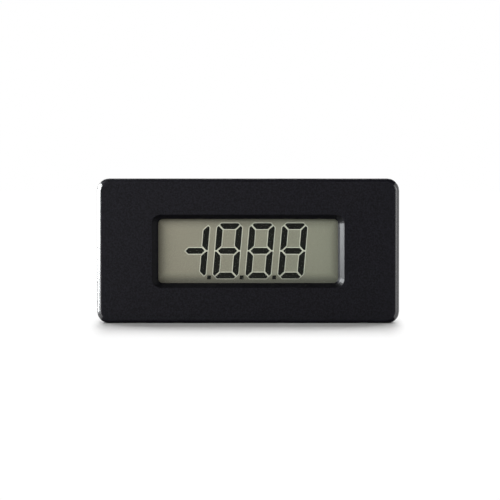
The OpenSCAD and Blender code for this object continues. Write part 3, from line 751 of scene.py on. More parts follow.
class Growth:
    """A Geometry Nodes tree that makes a piece out of points or lines.

    They are drawn flat, across and up, and the tree stands what it makes of them upright at a level.
    """

    def __init__(self, name: str, *sizes: str) -> None:
        """Starts the tree.

        Args:
            name: The tree's name.
            sizes: The names of its sizes, all in metres.
        """
        self.group = bpy.data.node_groups.new(name, "GeometryNodeTree")
        face = self.group.interface
        face.new_socket("Drawing", in_out="INPUT", socket_type="NodeSocketGeometry")
        for key in (*sizes, "Level"):
            face.new_socket(key, in_out="INPUT", socket_type="NodeSocketFloat")
        face.new_socket("Finish", in_out="INPUT", socket_type="NodeSocketMaterial")
        face.new_socket("Piece", in_out="OUTPUT", socket_type="NodeSocketGeometry")
        self.tree = Tree(self.group)
        self.given = self.tree.add("NodeGroupInput").outputs

    def sweep(self, path: Socket, width: Socket, height: Socket,
              corner: Socket | None = None) -> Socket:
        """Carries a rectangle along a flat path.

        Args:
            path: The path.
            width: The rectangle's size in the path's plane.
            height: Its size across that plane.
            corner: Its corner radius, if it is rounded.

        Returns:
            The bar.
        """
        profile = self.tree.add("GeometryNodeCurvePrimitiveQuadrilateral", {"Width": width, "Height": height})
        if corner is not None:
            profile = self.tree.add("GeometryNodeFilletCurve", {
                "Curve": profile.outputs[0], "Count": 3, "Radius": corner}, mode="POLY")
        level = self.tree.add("GeometryNodeSetCurveNormal", {"Curve": path}, mode="Z_UP")
        return self.tree.out("GeometryNodeCurveToMesh", {
            "Curve": level.outputs[0], "Profile Curve": profile.outputs[0], "Fill Caps": True})

    def stamp(self, shape: Socket) -> Socket:
        """Puts a shape on each point, turned by the point's own turn.

        Args:
            shape: The shape.

        Returns:
            The shapes.
        """
        turn = self.tree.out("GeometryNodeInputNamedAttribute", {"Name": "turn"}, data_type="FLOAT")
        return self.tree.out("GeometryNodeInstanceOnPoints", {
            "Points": self.given["Drawing"], "Instance": shape, "Rotation": self.tree.join(z=turn)})

    def end(self, shape: Socket) -> None:
        """Ends the tree, standing the shape upright at its level.

        Args:
            shape: What the tree makes.
        """
        lift = self.tree.join(y=self.given["Level"])
        stood = self.tree.out("GeometryNodeTransform", {
            "Geometry": shape, "Translation": lift, "Rotation": (math.pi / 2, 0.0, 0.0)})
        real = self.tree.out("GeometryNodeRealizeInstances", {0: stood})
        done = self.tree.add("GeometryNodeSetMaterial", {"Geometry": real, "Material": self.given["Finish"]})
        self.tree.add("NodeGroupOutput", {0: done.outputs[0]})

    def grow(self, name: str, drawing: "Drawing", finish: Finish, slot: str, level: float,
             smooth: bool = False, **sizes: float) -> None:
        """Makes a piece that rides on the meter.

        Args:
            name: The piece's name.
            drawing: The points or lines that it is made from.
            finish: Its finish.
            slot: Handed on to Forge.piece.
            level: The depth that it stands at, in metres.
            smooth: Whether its faces are shaded smooth.
            sizes: The tree's sizes by name, in millimetres.
        """
        mesh = bpy.data.meshes.new(name)
        mesh.from_pydata([(x, z, 0.0) for x, z in drawing.points], drawing.lines, [])
        mesh.attributes.new("turn", "FLOAT", "POINT").data.foreach_set("value", drawing.turns)
        seed = Forge.link(name, mesh)
        modifier = seed.modifiers.new(name, "NODES")
        modifier.node_group = self.group
        given = {"Level": level, "Finish": finish.material}
        given.update({key.capitalize(): size * MM for key, size in sizes.items()})
        for item in self.group.interface.items_tree:
            if item.in_out == "INPUT" and item.name in given:
                modifier[item.identifier] = given[item.name]
        grown = bpy.data.meshes.new_from_object(seed.evaluated_get(bpy.context.evaluated_depsgraph_get()))
        bpy.data.objects.remove(seed)
        points = [tuple(v.co) for v in grown.vertices]
        faces = [tuple(f.vertices) for f in grown.polygons]
        Forge.piece(name, points, faces, finish, slot, smooth)


class Drawing:
    """Points and lines drawn flat, across and up, in metres."""

    def __init__(self, places: Iterable[Flat] = ()) -> None:
        """Args:
            places: The places of the points that it starts with.
        """
        self.points: Outline = list(places)
        self.turns = [0.0] * len(self.points)
        self.lines: list[tuple[int, int]] = []

    def mark(self, x: float, z: float, turn: float = 0.0) -> None:
        """Adds a point with its turn in radians."""
        self.points.append((x, z))
        self.turns.append(turn)

    def line(self, places: Outline, closed: bool = False) -> None:
        """Adds a line through places.

        Args:
            places: The places, across and up.
            closed: Whether it ends where it starts.
        """
        first = len(self.points)
        for x, z in places:
            self.mark(x, z)
        count = len(places)
        self.lines += [(first + i, first + (i + 1) % count) for i in range(count if closed else count - 1)]

    def dogleg(self, start: Flat, end: Flat) -> None:
        """Adds a line whose middle part runs at 45 degrees.

        Args:
            start: Where it starts.
            end: Where it ends.
        """
        dx, dz = end[0] - start[0], end[1] - start[1]
        slant = min(abs(dx), abs(dz))
        lead = (max(abs(dx), abs(dz)) - slant) / 2
        right, up = math.copysign(1.0, dx), math.copysign(1.0, dz)
        ahead = (right * lead, 0.0) if abs(dx) > abs(dz) else (0.0, up * lead)
        near = (start[0] + ahead[0], start[1] + ahead[1])
        far = (near[0] + right * slant, near[1] + up * slant)
        steps = zip((start, near, far), (near, far, end))
        self.line([start] + [place for last, place in steps if math.dist(last, place) > 1e-5])


@dataclass
class Casing:
    """The bezel and the two clips."""

    corner_r: float = 2.8 * MM
    edge_r: float = 0.95 * MM
    same: float = 0.001 * MM

    bezel: BezelPlastic = BezelPlastic(
        "textured_black_plastic", colour=(0.0052, 0.005, 0.0074), roughness=0.55, grain_scale=2600.0,
        grain_depth=0.012 * MM, gloss=0.04, colour_spread=0.6)
    clip: Plastic = Plastic(
        "clip_black_plastic", colour=(0.008, 0.008, 0.009), roughness=0.4, grain_scale=2600.0,
        grain_depth=0.006 * MM, gloss=0.3)

    def cut_flange(self, shape: bmesh.types.BMesh, axis: Axis, at: float) -> None:
        """Cuts the flange's faces along the plane where its corners start to turn.

        Args:
            shape: The bezel.
            axis: The axis that the plane stands across.
            at: The plane's place on it.
        """
        flange = [face for face in shape.faces if max(vertex.co.y for vertex in face.verts) < self.same]
        edges = list({edge for face in flange for edge in face.edges})
        vertices = list({vertex for face in flange for vertex in face.verts})
        place, across = Vector(), Vector()
        place[axis.value], across[axis.value] = at, 1.0
        bmesh.ops.bisect_plane(shape, geom=vertices + edges + flange, dist=self.same / 10, plane_co=place,
                               plane_no=across)

    def round_off(self, vertex: bmesh.types.BMVert, centre: Vector, front: float,
                  drawn: bmesh.types.BMLayerItem) -> None:
        """Moves a vertex of a flange's corner onto the rounder corner and turns its normals with it.

        Args:
            vertex: The vertex.
            centre: The corner arc's centre across and up, at the upper right.
            front: The depth of the flange's front face.
            drawn: The layer that holds the normals.
        """
        aside = Vector((abs(vertex.co.x) - centre.x, abs(vertex.co.z) - centre.y))
        lean = min(1.0, max(0.0, front + self.edge_r - vertex.co.y) / self.edge_r)
        upright = math.sqrt(1.0 - lean * lean)
        reach = self.corner_r - self.edge_r * (1.0 - upright)
        if vertex.co.y > self.same or min(aside) < -self.same or aside.length < reach - self.same:
            return
        out = aside.normalized()
        right, up = math.copysign(1.0, vertex.co.x), math.copysign(1.0, vertex.co.z)
        vertex.co.x, vertex.co.z = right * (centre.x + reach * out.x), up * (centre.y + reach * out.y)
        for loop in vertex.link_loops:
            if loop.face.normal.y < 0.9:
                loop[drawn] = (right * out.x * upright, -lean, up * out.y * upright)

    def add_bezel(self) -> None:
        """Adds the bezel again, with its flange's four corners rounder than the CAD node's."""
        low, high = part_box("bezel")
        centre = Vector((high.x - self.corner_r, high.z - self.corner_r))
        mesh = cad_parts["bezel"].data.copy()
        layer = mesh.attributes.new("drawn_normal", "FLOAT_VECTOR", "CORNER")
        layer.data.foreach_set("vector", [part for normal in mesh.corner_normals for part in normal.vector])
        shape = bmesh.new()
        shape.from_mesh(mesh)
        bmesh.ops.remove_doubles(shape, verts=shape.verts, dist=self.same / 10)
        for axis, at in ((Axis.X, centre.x), (Axis.Z, centre.y)):
            self.cut_flange(shape, axis, at)
            self.cut_flange(shape, axis, -at)
        shape.normal_update()
        for vertex in shape.verts:
            self.round_off(vertex, centre, low.y, shape.loops.layers.float_vector["drawn_normal"])
        shape.to_mesh(mesh)
        shape.free()
        layer = mesh.attributes["drawn_normal"]
        normals = [tuple(item.vector) for item in layer.data]
        mesh.attributes.remove(layer)
        mesh.polygons.foreach_set("use_smooth", [True] * len(mesh.polygons))
        mesh.normals_split_custom_set(normals)
        mesh.materials.clear()
        mesh.materials.append(self.bezel.material)
        made = Forge.link("rounded_bezel", mesh)
        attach(made, METER)
        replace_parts(made, "bezel")
        LOG.info("rounded_bezel has %d faces", len(mesh.polygons))

    def dress(self) -> None:
        """Adds the rounded bezel and puts the clips' finish on."""
        self.add_bezel()
        self.clip.dress("left_clip", "right_clip")


@dataclass(frozen=True)
class Digits:
    """The strokes and points of the reading, with every one of them on."""

    shown: tuple[str, ...] = ("bcg", "abcdefg", "abcdefg", "abcdefg")
    height: float = 13.23 * MM
    width: float = 6.06 * MM
    pitch: float = 7.78 * MM
    shift: float = -1.02 * MM
    rise: float = -0.07 * MM
    stroke: float = 1.44 * MM
    gap: float = 0.35 * MM
    corner_cut: float = 1.05 * MM
    waist: float = 0.47 * MM
    lean_deg: float = 4.9
    point_w: float = 0.92 * MM
    point_drop: float = 0.19 * MM

    def placed(self, outline: Outline, at: float) -> Outline:
        """Returns an outline leaned to the right and put in its place.

        Args:
            outline: An upright outline round its digit's middle.
            at: How far across the digit's middle goes.
        """
        slope = math.tan(math.radians(self.lean_deg))
        return [(at + x + z * slope, z + self.rise) for x, z in outline]

    def bar(self, letter: str) -> Outline:
        """Returns one stroke's upright outline, round its digit's middle.

        Args:
            letter: The stroke's usual letter, from a at the top clockwise to f, with g in the middle.
        """
        half_w, half_h, thick, cut = self.width / 2, self.height / 2, self.stroke, self.corner_cut
        part = self.gap / math.sqrt(2)
        neck = half_w - self.waist
        if letter == "g":
            tip = neck - part
            upper = [(-tip, 0.0), (thick / 2 - tip, thick / 2), (tip - thick / 2, thick / 2)]
            return upper + [(-x, -z) for x, z in upper]
        if letter in "ad":
            half = [(half_w - cut, half_h), (half_w - (cut + part) / 2, half_h - (cut - part) / 2),
                    (half_w - thick - part, half_h - thick)]
            outline = half + [(-x, z) for x, z in reversed(half)]
        else:
            outline = [(half_w, half_h - cut), (half_w - (cut - part) / 2, half_h - (cut + part) / 2),
                       (half_w - thick, half_h - thick - part), (half_w - thick, thick - self.waist + part),
                       (neck + part - self.gap / 2, self.gap / 2), (half_w, self.gap / 2)]
        right, up = -1 if letter in "ef" else 1, -1 if letter in "cde" else 1
        return [(x * right, z * up) for x, z in outline]

    def middles(self) -> list[float]:
        """Returns how far across each digit's middle is."""
        first = self.shift - (len(self.shown) - 1) / 2 * self.pitch
        return [first + place * self.pitch for place in range(len(self.shown))]

    def strokes(self) -> list[Outline]:
        """Returns every stroke's outline."""
        return [self.placed(self.bar(letter), at) for letters, at in zip(self.shown, self.middles())
                for letter in letters]

    def points(self) -> list[Outline]:
        """Returns the outline of the point after each digit but the last."""
        low, high = (self.pitch - self.point_w) / 2, (self.pitch + self.point_w) / 2
        foot = -self.height / 2 - self.point_drop
        point = [(low, foot), (high, foot), (high, foot + self.point_w), (low, foot + self.point_w)]
        return [self.placed(point, at) for at in self.middles()[:-1]]


@dataclass
class Display:
    """The window lens and the layers of the liquid crystal cell."""

    digits: Digits = Digits()

    lens: ClearSheet = ClearSheet("window_acrylic", tint=(0.97, 0.975, 0.97))
    glass: ClearSheet = ClearSheet("cell_glass", tint=(0.97, 0.985, 0.975))
    film: FrontFilm = FrontFilm("front_polariser_film")
    ground: Ground = Ground("reflector_film")
    ink: Plastic = Plastic(
        "dark_segments", colour=(0.0035, 0.0033, 0.0026), roughness=0.5, grain_scale=3000.0, grain_depth=0.0,
        gloss=0.1)
    seal: Plastic = Plastic("seal_resin", colour=(0.5, 0.46, 0.34), roughness=0.4)
    frame_plastic: Plastic = Plastic(
        "white_frame_plastic", colour=(0.72, 0.71, 0.67), roughness=0.42, colour_spread=0.04,
        grain_scale=2200.0, grain_depth=0.008 * MM)
    strip: StripRubber = StripRubber("layered_rubber", colour=(0.012, 0.012, 0.013), roughness=0.6)

    # Like the reflector, the fringe and the crystal layer are painted lighter at the left and carry painted
    # shade toward the window's edges.
    fringe: Ground = Ground("pale_fringe", left=(0.92, 0.87, 0.78), right=(0.85, 0.84, 0.75))
    crystal: Ground = Ground("crystal_layer", left=(0.372, 0.33, 0.272), right=(0.319, 0.309, 0.251))
    fringe_w: float = 0.18 * MM
    sheet_t: float = 0.01 * MM
    crystal_inset: float = 1.05 * MM
    crystal_corner: float = 0.3 * MM

    def add_layers(self) -> None:
        """Adds the liquid crystal, the strokes of the reading and the pale fringe round each stroke."""
        front, y = (corner.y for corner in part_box("display_segments"))
        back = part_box("cell_seal")[1].y
        size = (side - 2 * self.crystal_inset for side in Forge.spread("cell_seal")[1])
        points, faces = Forge.prisms([Forge.rounded(*size, self.crystal_corner)], back - 2 * self.sheet_t,
                                     back - self.sheet_t)
        Forge.piece("liquid_crystal", points, faces, self.crystal, "reflector")
        outlines = self.digits.strokes()
        points, faces = Forge.prisms(outlines + self.digits.points(), front, y)
        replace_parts(Forge.piece("reading_strokes", points, faces, self.ink, "segments"), "display_segments")
        grown = [Forge.grown_hull(outline, self.fringe_w) for outline in outlines]
        points, faces = Forge.prisms(grown, y + self.sheet_t, y + 2 * self.sheet_t)
        Forge.piece("segment_fringes", points, faces, self.fringe, "reflector")

    def dress(self) -> None:
        """Adds the layers and puts the finishes on."""
        self.add_layers()
        self.lens.dress("window_lens")
        self.glass.dress("front_glass", "rear_glass")
        self.film.dress("front_polariser")
        self.ground.dress("rear_polariser")
        self.seal.dress("cell_seal")
        self.frame_plastic.dress("display_frame")
        self.strip.dress("upper_contact_strip", "lower_contact_strip")


@dataclass
class Board:
    """The board and what is soldered to it."""

    tin: Metal = Metal("tin_plate", colour=(0.74, 0.74, 0.73), roughness=0.26)
    solder: Metal = Metal("bright_solder", colour=(0.72, 0.72, 0.73), roughness=0.2)
    aluminium: Metal = Metal("can_aluminium", colour=(0.76, 0.77, 0.79), roughness=0.32, streak=Axis.X)
    covered: Plastic = Plastic("mask_over_copper", colour=(0.03, 0.15, 0.06), roughness=0.26,
                               colour_spread=0.1, grain_scale=1500.0, grain_depth=0.004 * MM)
    print_white: Plastic = Plastic("white_board_print", colour=(0.7, 0.71, 0.68), roughness=0.5,
                                   colour_spread=0.12, grain_scale=6000.0, grain_depth=0.004 * MM)
    dressed: tuple[tuple[Finish, tuple[str, ...]], ...] = (
        (BoardLaminate("green_solder_mask", colour=(0.012, 0.085, 0.035), roughness=0.3, colour_spread=0.12,
                       grain_scale=1500.0, grain_depth=0.004 * MM), ("circuit_board",)),
        (Metal("zinc_plate", colour=(0.66, 0.67, 0.68), roughness=0.3), ("board_screws",)),
        (tin, ("chip_leads", "trimmer_pins", "capacitor_leads", "supply_capacitor_leads",
               "clock_capacitor_leads")),
        (Metal("gold_flash", colour=(0.86, 0.62, 0.26), roughness=0.24), ("header_pins",)),
        (Plastic("chip_epoxy", colour=(0.016, 0.016, 0.018), roughness=0.55, grain_scale=9000.0),
         ("converter_chip",)),
        (Plastic("header_black_plastic", colour=(0.012, 0.012, 0.012), roughness=0.42), ("header_block",)),
        (Plastic("film_box_red", colour=(0.42, 0.035, 0.02), roughness=0.32, colour_spread=0.08,
                 grain_depth=0.004 * MM),
         ("integrating_capacitor", "auto_zero_capacitor", "reference_capacitor")),
        (Plastic("disc_coating", colour=(0.52, 0.24, 0.045), roughness=0.25, colour_spread=0.1,
                 grain_scale=1200.0, grain_depth=0.03 * MM, coat=0.4), ("clock_capacitor",)),
        (Sleeve("blue_sleeve", colour=(0.012, 0.03, 0.14), roughness=0.28, colour_spread=0.1,
                grain_scale=900.0, grain_depth=0.006 * MM), ("supply_capacitor",)),
        (Plastic("resistor_glaze", colour=(0.012, 0.012, 0.013), roughness=0.22), ("chip_resistors",)),
        (Plastic("trimmer_blue_plastic", colour=(0.02, 0.1, 0.4), roughness=0.35, colour_spread=0.08),
         ("trimmer_body",)),
        (Plastic("rotor_white_plastic", colour=(0.78, 0.76, 0.68), roughness=0.4, colour_spread=0.05),
         ("trimmer_rotor",)))

    foot_inset: float = 0.35 * MM
    can_r: float = 1.86 * MM
    can_recess: float = 0.2 * MM
    can_sides: int = 48
    disc_rise: Flat = (-0.01 * MM, 0.03 * MM)
    score_w: float = 0.1 * MM
    score_deg: float = 2.0
    score_steps: int = 14
    quarter_rise: Flat = (0.02 * MM, 0.09 * MM)
    cap_inset: float = 0.2 * MM
    print_gap: float = 0.45 * MM
    chip_gap: float = 2.2 * MM
    print_flat: float = 0.01 * MM
    print_corner: float = 0.4 * MM
    resistor_print: tuple[float, float, float] = (5.0 * MM, 2.5 * MM, 0.3 * MM)
    printed: tuple[str, ...] = (
        "converter_chip", "trimmer_body", "integrating_capacitor", "auto_zero_capacitor",
        "reference_capacitor", "header_block", "supply_capacitor", "clock_capacitor")
    round_parts: tuple[str, ...] = ("supply_capacitor", "clock_capacitor")
    links: tuple[tuple[str, int, str, int], ...] = (
        ("chip", 43, "film", 2), ("chip", 38, "film", 1), ("chip", 34, "film", 0),
        ("chip", 33, "header", 0), ("film", 5, "trimmer", 1), ("film", 4, "trimmer", 0),
        ("film", 3, "header", 1), ("trimmer", 2, "header", 5), ("resistor", 15, "trimmer", 1),
        ("chip", 12, "resistor", 3), ("chip", 16, "resistor", 4), ("chip", 22, "resistor", 5),
        ("chip", 28, "resistor", 8), ("chip", 32, "resistor", 9), ("resistor", 9, "resistor", 12),
        ("resistor", 13, "resistor", 14), ("chip", 11, "resistor", 1), ("chip", 17, "resistor", 6),
        ("chip", 25, "resistor", 7), ("chip", 31, "resistor", 10), ("resistor", 11, "header", 2),
        ("chip", 10, "clock", 1), ("chip", 8, "clock", 0), ("chip", 1, "supply", 1),
        ("resistor", 0, "supply", 0), ("resistor", 2, "clock", 0))
    vias: tuple[Flat, ...] = (
        (-25.0, 8.2), (-25.0, 1.0), (-25.4, -7.2), (-12.6, -8.4), (-5.6, 8.6), (0.0, 8.4), (0.2, 3.6),
        (0.0, -1.4), (10.4, 8.2), (11.0, 3.8), (11.2, -0.6), (13.0, -3.4), (24.6, 7.2), (25.0, 0.4),
        (24.8, -4.4), (3.4, -7.8))

    def __post_init__(self) -> None:
        """Works out the places that the added pieces need."""
        self.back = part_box("circuit_board")[1].y

    def terminals(self) -> dict[str, Outline]:
        """Returns where the tracks can end: the feet, leads and ends of each kind of part."""
        found = {}
        for kind, node in (("film", "capacitor_leads"), ("supply", "supply_capacitor_leads"),
                           ("clock", "clock_capacitor_leads"), ("trimmer", "trimmer_pins"),
                           ("header", "header_pins")):
            found[kind] = [self.middle(group) for group in Forge.islands(node)]
        found["chip"] = [(x, z) for x, z, _ in self.feet()]
        found["resistor"] = []
        for group in Forge.islands("chip_resistors"):
            middle = self.middle(group)
            reach = max(p.x for p in group) - middle[0]
            found["resistor"] += [(middle[0] - reach, middle[1]), (middle[0] + reach, middle[1])]
        return found

    @staticmethod
    def middle(group: list[Vector]) -> Flat:
        """Returns the middle of a solid, across and up."""
        xs, zs = [p.x for p in group], [p.z for p in group]
        return (min(xs) + max(xs)) / 2, (min(zs) + max(zs)) / 2

    def feet(self) -> list[tuple[float, float, float]]:
        """Returns the outer part of each chip lead's foot, and how the foot is turned."""
        (centre_x, centre_z), _ = Forge.spread("converter_chip")
        feet = []
        for group in Forge.islands("chip_leads"):
            x, z = self.middle(group)
            flat = abs(x - centre_x) > abs(z - centre_z)
            reach = [(abs(p.x - centre_x) if flat else abs(p.z - centre_z)) for p in group]
            end = max(reach) - self.foot_inset
            if flat:
                feet.append((centre_x + math.copysign(end, x - centre_x), z, math.pi / 2))
            else:
                feet.append((x, centre_z + math.copysign(end, z - centre_z), 0.0))
        return feet

    def add_lines(self) -> None:
        """Adds the copper tracks, which stand a little proud under the mask, and the board print."""
        lines = Growth("laid_lines", "Width", "Thickness", "Corner")
        path = lines.tree.out("GeometryNodeMeshToCurve", {0: lines.given["Drawing"]})
        path = lines.tree.out("GeometryNodeFilletCurve", {
            "Curve": path, "Count": 4, "Radius": lines.given["Corner"], "Limit Radius": True}, mode="POLY")
        lines.end(lines.sweep(path, lines.given["Width"], lines.given["Thickness"]))
        places = self.terminals()
        tracks = Drawing()
        for kind, number, other, other_number in self.links:
            tracks.dogleg(places[kind][number], places[other][other_number])
        lines.grow("copper_tracks", tracks, self.covered, "board_laminate", self.back,
                   width=0.3, thickness=0.07, corner=0.3)
        outlines = Drawing()
        for node in self.printed:
            centre, size = Forge.spread(node)
            gap = self.chip_gap if node == "converter_chip" else self.print_gap
            size = [side + 2 * gap for side in size]
            turned = node in self.round_parts
            corner = min(size) / 2 - self.print_flat if turned else self.print_corner
            outlines.line(Forge.rounded(*size, corner, centre, 8 if turned else 3), True)
        for group in Forge.islands("chip_resistors"):
            outlines.line(Forge.rounded(*self.resistor_print, self.middle(group), 3), True)
        lines.grow("board_print", outlines, self.print_white, "board_laminate", self.back,
                   width=0.16, thickness=0.03, corner=0.0)

    def add_rings(self) -> None:
        """Adds the plated rings round the leads and screws, and the rings of the covered vias."""
        rings = Growth("stamped_rings", "Radius", "Width", "Thickness")
        circle = rings.tree.add("GeometryNodeCurvePrimitiveCircle", {
            "Resolution": 28, "Radius": rings.given["Radius"]})
        rings.end(rings.stamp(rings.sweep(circle.outputs[0], rings.given["Width"], rings.given["Thickness"])))
        places = self.terminals()
        leads = [place for kind in ("film", "supply", "clock", "trimmer", "header") for place in places[kind]]
        screws = [self.middle(group) for group in Forge.islands("board_screws")]
        vias = [(x * MM, z * MM) for x, z in self.vias]
        for name, marks, finish, slot, radius, width, thickness in (
                ("plated_rings", leads, self.solder, "tinned_leads", 0.72, 0.34, 0.08),
                ("screw_lands", screws, self.solder, "tinned_leads", 1.78, 0.34, 0.06),
                ("covered_vias", vias, self.covered, "board_laminate", 0.3, 0.22, 0.07)):
            rings.grow(name, Drawing(marks), finish, slot, self.back,
                       radius=radius, width=width, thickness=thickness)

    def add_solder(self) -> None:
        """Adds the solder at the chip's feet, and the resistors' end caps with their solder."""
        beads = Growth("solder_beads", "Width", "Length", "Height")
        ball = beads.tree.out("GeometryNodeMeshUVSphere", {"Segments": 14, "Rings": 8, "Radius": 1.0})
        half_w, half_l = (beads.tree.times(beads.given[key], 0.5) for key in ("Width", "Length"))
        size = beads.tree.join(half_w, half_l, beads.given["Height"])
        beads.end(beads.stamp(beads.tree.out("GeometryNodeTransform", {"Geometry": ball, "Scale": size})))
        feet = Drawing()
        for x, z, turn in self.feet():
            feet.mark(x, z, turn)
        beads.grow("foot_solder", feet, self.solder, "tinned_leads", self.back, True,
                   width=0.48, length=1.3, height=0.17)
        ends = self.terminals()["resistor"]
        caps = [(x - (self.cap_inset if i % 2 else -self.cap_inset), z) for i, (x, z) in enumerate(ends)]
        beads.grow("end_solder", Drawing(ends), self.solder, "tinned_leads", self.back, True,
                   width=1.3, length=1.5, height=0.32)
        bars = Growth("end_caps", "Length", "Width", "Thickness", "Corner")
        stop, start = (bars.tree.join(bars.tree.times(bars.given["Length"], side)) for side in (0.5, -0.5))
        line = bars.tree.out("GeometryNodeCurvePrimitiveLine", {"Start": start, "End": stop})
        sizes = (bars.given[key] for key in ("Width", "Thickness", "Corner"))
        bars.end(bars.stamp(bars.sweep(line, *sizes)))
        low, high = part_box("chip_resistors")
        thick = high.y - low.y
        bars.grow("resistor_ends", Drawing(caps), self.tin, "tinned_leads", self.back + thick / 2,
                  length=0.5, width=1.64, thickness=thick / MM + 0.04, corner=0.08)

    def add_can_top(self) -> None:
        """Adds the can's bare end with its scored cross."""
        centre, _ = Forge.spread("supply_capacitor")
        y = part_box("supply_capacitor")[1].y - self.can_recess

        def arc(middle: Flat, radius: float, turns: Iterable[float]) -> Outline:
            """Returns the points of an arc at turns given in degrees."""
            return [(middle[0] + radius * math.cos(math.radians(turn)),
                     middle[1] + radius * math.sin(math.radians(turn))) for turn in turns]

        disc = arc(centre, self.can_r, (360 * i / self.can_sides for i in range(self.can_sides)))
        points, faces = Forge.prisms([disc], *(y + rise for rise in self.disc_rise))
        quarters = []
        for quarter in range(4):
            corner = arc(centre, self.score_w, [90 * quarter + 45])
            span = (90 - 2 * self.score_deg) / self.score_steps
            turns = (90 * quarter + self.score_deg + span * i for i in range(self.score_steps + 1))
            quarters.append(corner + arc(corner[0], self.can_r - 1.4 * self.score_w, turns))
        top_points, top_faces = Forge.prisms(quarters, *(y + rise for rise in self.quarter_rise))
        faces += [tuple(len(points) + i for i in face) for face in top_faces]
        Forge.piece("can_end", points + top_points, faces, self.aluminium, "tinned_leads")

    def dress(self) -> None:
        """Adds the board's own pieces and puts the finishes on."""
        self.add_lines()
        self.add_rings()
        self.add_solder()
        self.add_can_top()
        for finish, nodes in self.dressed:
            finish.dress(*nodes)


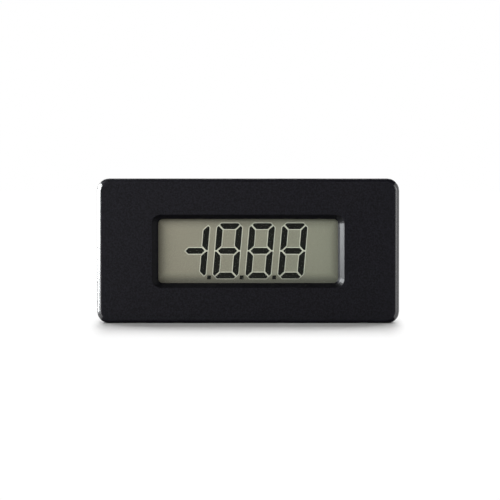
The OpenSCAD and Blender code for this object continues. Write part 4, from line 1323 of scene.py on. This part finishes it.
@dataclass
class Studio:
    """The floor, the lights and the camera."""

    view_width: float = 119.55 * MM
    aim_x: float = 0.44 * MM
    aim_z: float = 0.09 * MM
    distance: float = 1.3
    elevation_deg: float = 2.6
    sensor: float = 36.0
    floor_radius: float = 0.9
    floor_sides: int = 96
    floor_greys: Flat = (0.79, 0.81)
    floor_lift: float = 0.02
    side_fade: float = 12.0
    side_inset: float = 4.0 * MM
    white_from: float = 0.02
    white_at: float = 0.07
    ambient_level: float = 0.15
    ceiling_level: float = 0.1
    ceiling_height: Flat = (0.45, 0.8)

    def add_camera(self) -> None:
        """Adds the camera, in front of the meter, a little above it and far off."""
        camera = bpy.data.cameras.new("camera")
        camera.sensor_width = self.sensor
        camera.lens = self.sensor * self.distance / self.view_width
        camera.clip_start, camera.clip_end = 0.1, 20.0
        rig = Forge.link("camera", camera)
        rise = math.radians(self.elevation_deg)
        aim = Vector((self.aim_x, 0.0, self.aim_z))
        rig.location = aim + self.distance * Vector((0.0, -math.cos(rise), math.sin(rise)))
        rig.rotation_euler = (math.pi / 2 - rise, 0.0, 0.0)
        bpy.context.scene.camera = rig

    def add_floor(self) -> None:
        """Adds the floor just under the meter."""
        low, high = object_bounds()
        mesh = bpy.data.meshes.new("floor")
        turns = [math.tau * i / self.floor_sides for i in range(self.floor_sides)]
        radius = self.floor_radius
        ring = [(radius * math.cos(turn), radius * math.sin(turn), low.z) for turn in turns]
        mesh.from_pydata(ring, [], [tuple(range(len(ring)))])
        floor = Forge.link("floor", mesh)
        inset = Vector((self.side_inset, 0.0, 0.0))
        mesh.materials.append(self.floor_material((low + high) / 2, (high - low) / 2 - inset))
        floor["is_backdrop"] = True

    def floor_material(self, middle: Vector, reach: Vector) -> Material:
        """Returns a pale floor that runs into the white round the meter's shadow.

        Args:
            middle: The middle of the meter's box.
            reach: How far from it the shadow starts to fade.
        """
        material = bpy.data.materials.new("pale_floor")
        tree = Tree.of(material)
        speck = tree.ramp(tree.noise(60.0, 3.0), 0.3, 0.7)
        matte = tree.add("ShaderNodeBsdfDiffuse", {
            "Color": tree.blend(speck, *((grey, grey, grey) for grey in self.floor_greys))})
        white = tree.add("ShaderNodeEmission", {"Color": (1, 1, 1, 1), "Strength": 1.0})
        aside, along = (tree.most(tree.past(axis, reach[axis.value], middle[axis.value]), 0.0)
                        for axis in (Axis.X, Axis.Y))
        far = tree.length(tree.times(aside, self.side_fade), along)
        away = tree.ramp(far, self.white_from, self.white_at)
        path = tree.add("ShaderNodeLightPath").outputs
        seen = tree.most(path["Is Camera Ray"], path["Is Glossy Ray"], path["Is Transmission Ray"])
        mixed = tree.cover(tree.times(away, seen), matte, white)
        lift = tree.add("ShaderNodeEmission", {
            "Color": (1, 1, 1, 1), "Strength": tree.times(path["Is Camera Ray"], self.floor_lift)})
        both = tree.add("ShaderNodeAddShader", {0: mixed, 1: lift.outputs[0]})
        tree.add("ShaderNodeOutputMaterial", {"Surface": both.outputs[0]})
        return material

    def add_world(self) -> None:
        """Adds the white that the camera sees and the soft light from all round."""
        world = bpy.data.worlds.new("studio")
        bpy.context.scene.world = world
        tree = Tree.of(world)
        path = tree.add("ShaderNodeLightPath").outputs
        mirrored = tree.most(path["Is Glossy Ray"], path["Is Transmission Ray"])
        height = tree.split(tree.add("ShaderNodeTexCoord").outputs["Generated"])[2]
        ceiling = tree.ramp(height, *self.ceiling_height, 1.0, self.ceiling_level)
        level = tree.out("ShaderNodeMix", {0: mirrored, 2: self.ambient_level, 3: ceiling})
        level = tree.out("ShaderNodeMix", {0: path["Is Camera Ray"], 2: level, 3: 1.0})
        sky = tree.add("ShaderNodeBackground", {"Color": (1, 1, 1, 1), "Strength": level})
        tree.add("ShaderNodeOutputWorld", {"Surface": sky.outputs[0]})

    def add_panel(self, name: str, turn: float, rise: float, distance: float, size: Flat,
                  level: float, colour: Colour = (1.0, 1.0, 1.0), mirrored: bool = True,
                  lights: bool = True) -> None:
        """Adds a soft light panel that faces the meter.

        Args:
            name: The light's name.
            turn: How far round from the front toward the right it stands, in degrees.
            rise: How far above the horizon it stands, in degrees.
            distance: Its distance, in metres.
            size: Its width and height, in metres.
            level: How bright its face is, where 1 is white.
            colour: Its colour.
            mirrored: Whether shiny surfaces mirror it.
            lights: Whether it lights matte surfaces.
        """
        light = bpy.data.lights.new(name, "AREA")
        light.shape = "RECTANGLE"
        light.size, light.size_y = size
        light.energy, light.color = level * math.pi * size[0] * size[1], colour
        lamp = Forge.link(name, light)
        across, up = math.radians(turn), math.radians(rise)
        flat = math.cos(up)
        at = distance * Vector((math.sin(across) * flat, -math.cos(across) * flat, math.sin(up)))
        lamp.location = at
        lamp.rotation_euler = (-at).to_track_quat("-Z", "Y").to_euler()
        lamp.visible_camera = False
        lamp.visible_glossy, lamp.visible_diffuse = mirrored, lights

    def build(self) -> None:
        """Builds the studio."""
        self.add_camera()
        self.add_floor()
        self.add_world()
        self.add_panel("left_strip", -84.0, 14.5, 0.2, (0.12, 0.145), 72.0, (0.95, 0.985, 1.0), lights=False)
        self.add_panel("left_wall", -48.0, 4.0, 0.6, (0.6, 0.3), 15.0, (0.97, 0.99, 1.0), lights=False)
        self.add_panel("left_softbox", -42.0, 12.0, 0.8, (0.4, 0.3), 5.0, (1.0, 0.985, 0.96))
        self.add_panel("right_softbox", 44.0, 4.0, 0.6, (0.25, 0.2), 2.6)
        self.add_panel("front_softbox", -2.0, 12.0, 0.9, (0.5, 0.2), 8.0)
        self.add_panel("back_softbox", 180.0, 52.0, 0.8, (1.0, 0.6), 4.6, mirrored=False)
        self.add_panel("rear_fill", 180.0, 18.0, 1.0, (0.8, 0.3), 2.4)
        bpy.context.scene.view_settings.view_transform = "Standard"


def main() -> None:
    """Dresses the nodes, adds the studio and reports each piece."""
    logging.basicConfig(level=logging.INFO, format="%(message)s")
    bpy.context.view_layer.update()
    for assembly in (Casing(), Display(), Board()):
        assembly.dress()
        LOG.info("%s is dressed", type(assembly).__name__)
    Studio().build()


if __name__ == "__main__":
    main()
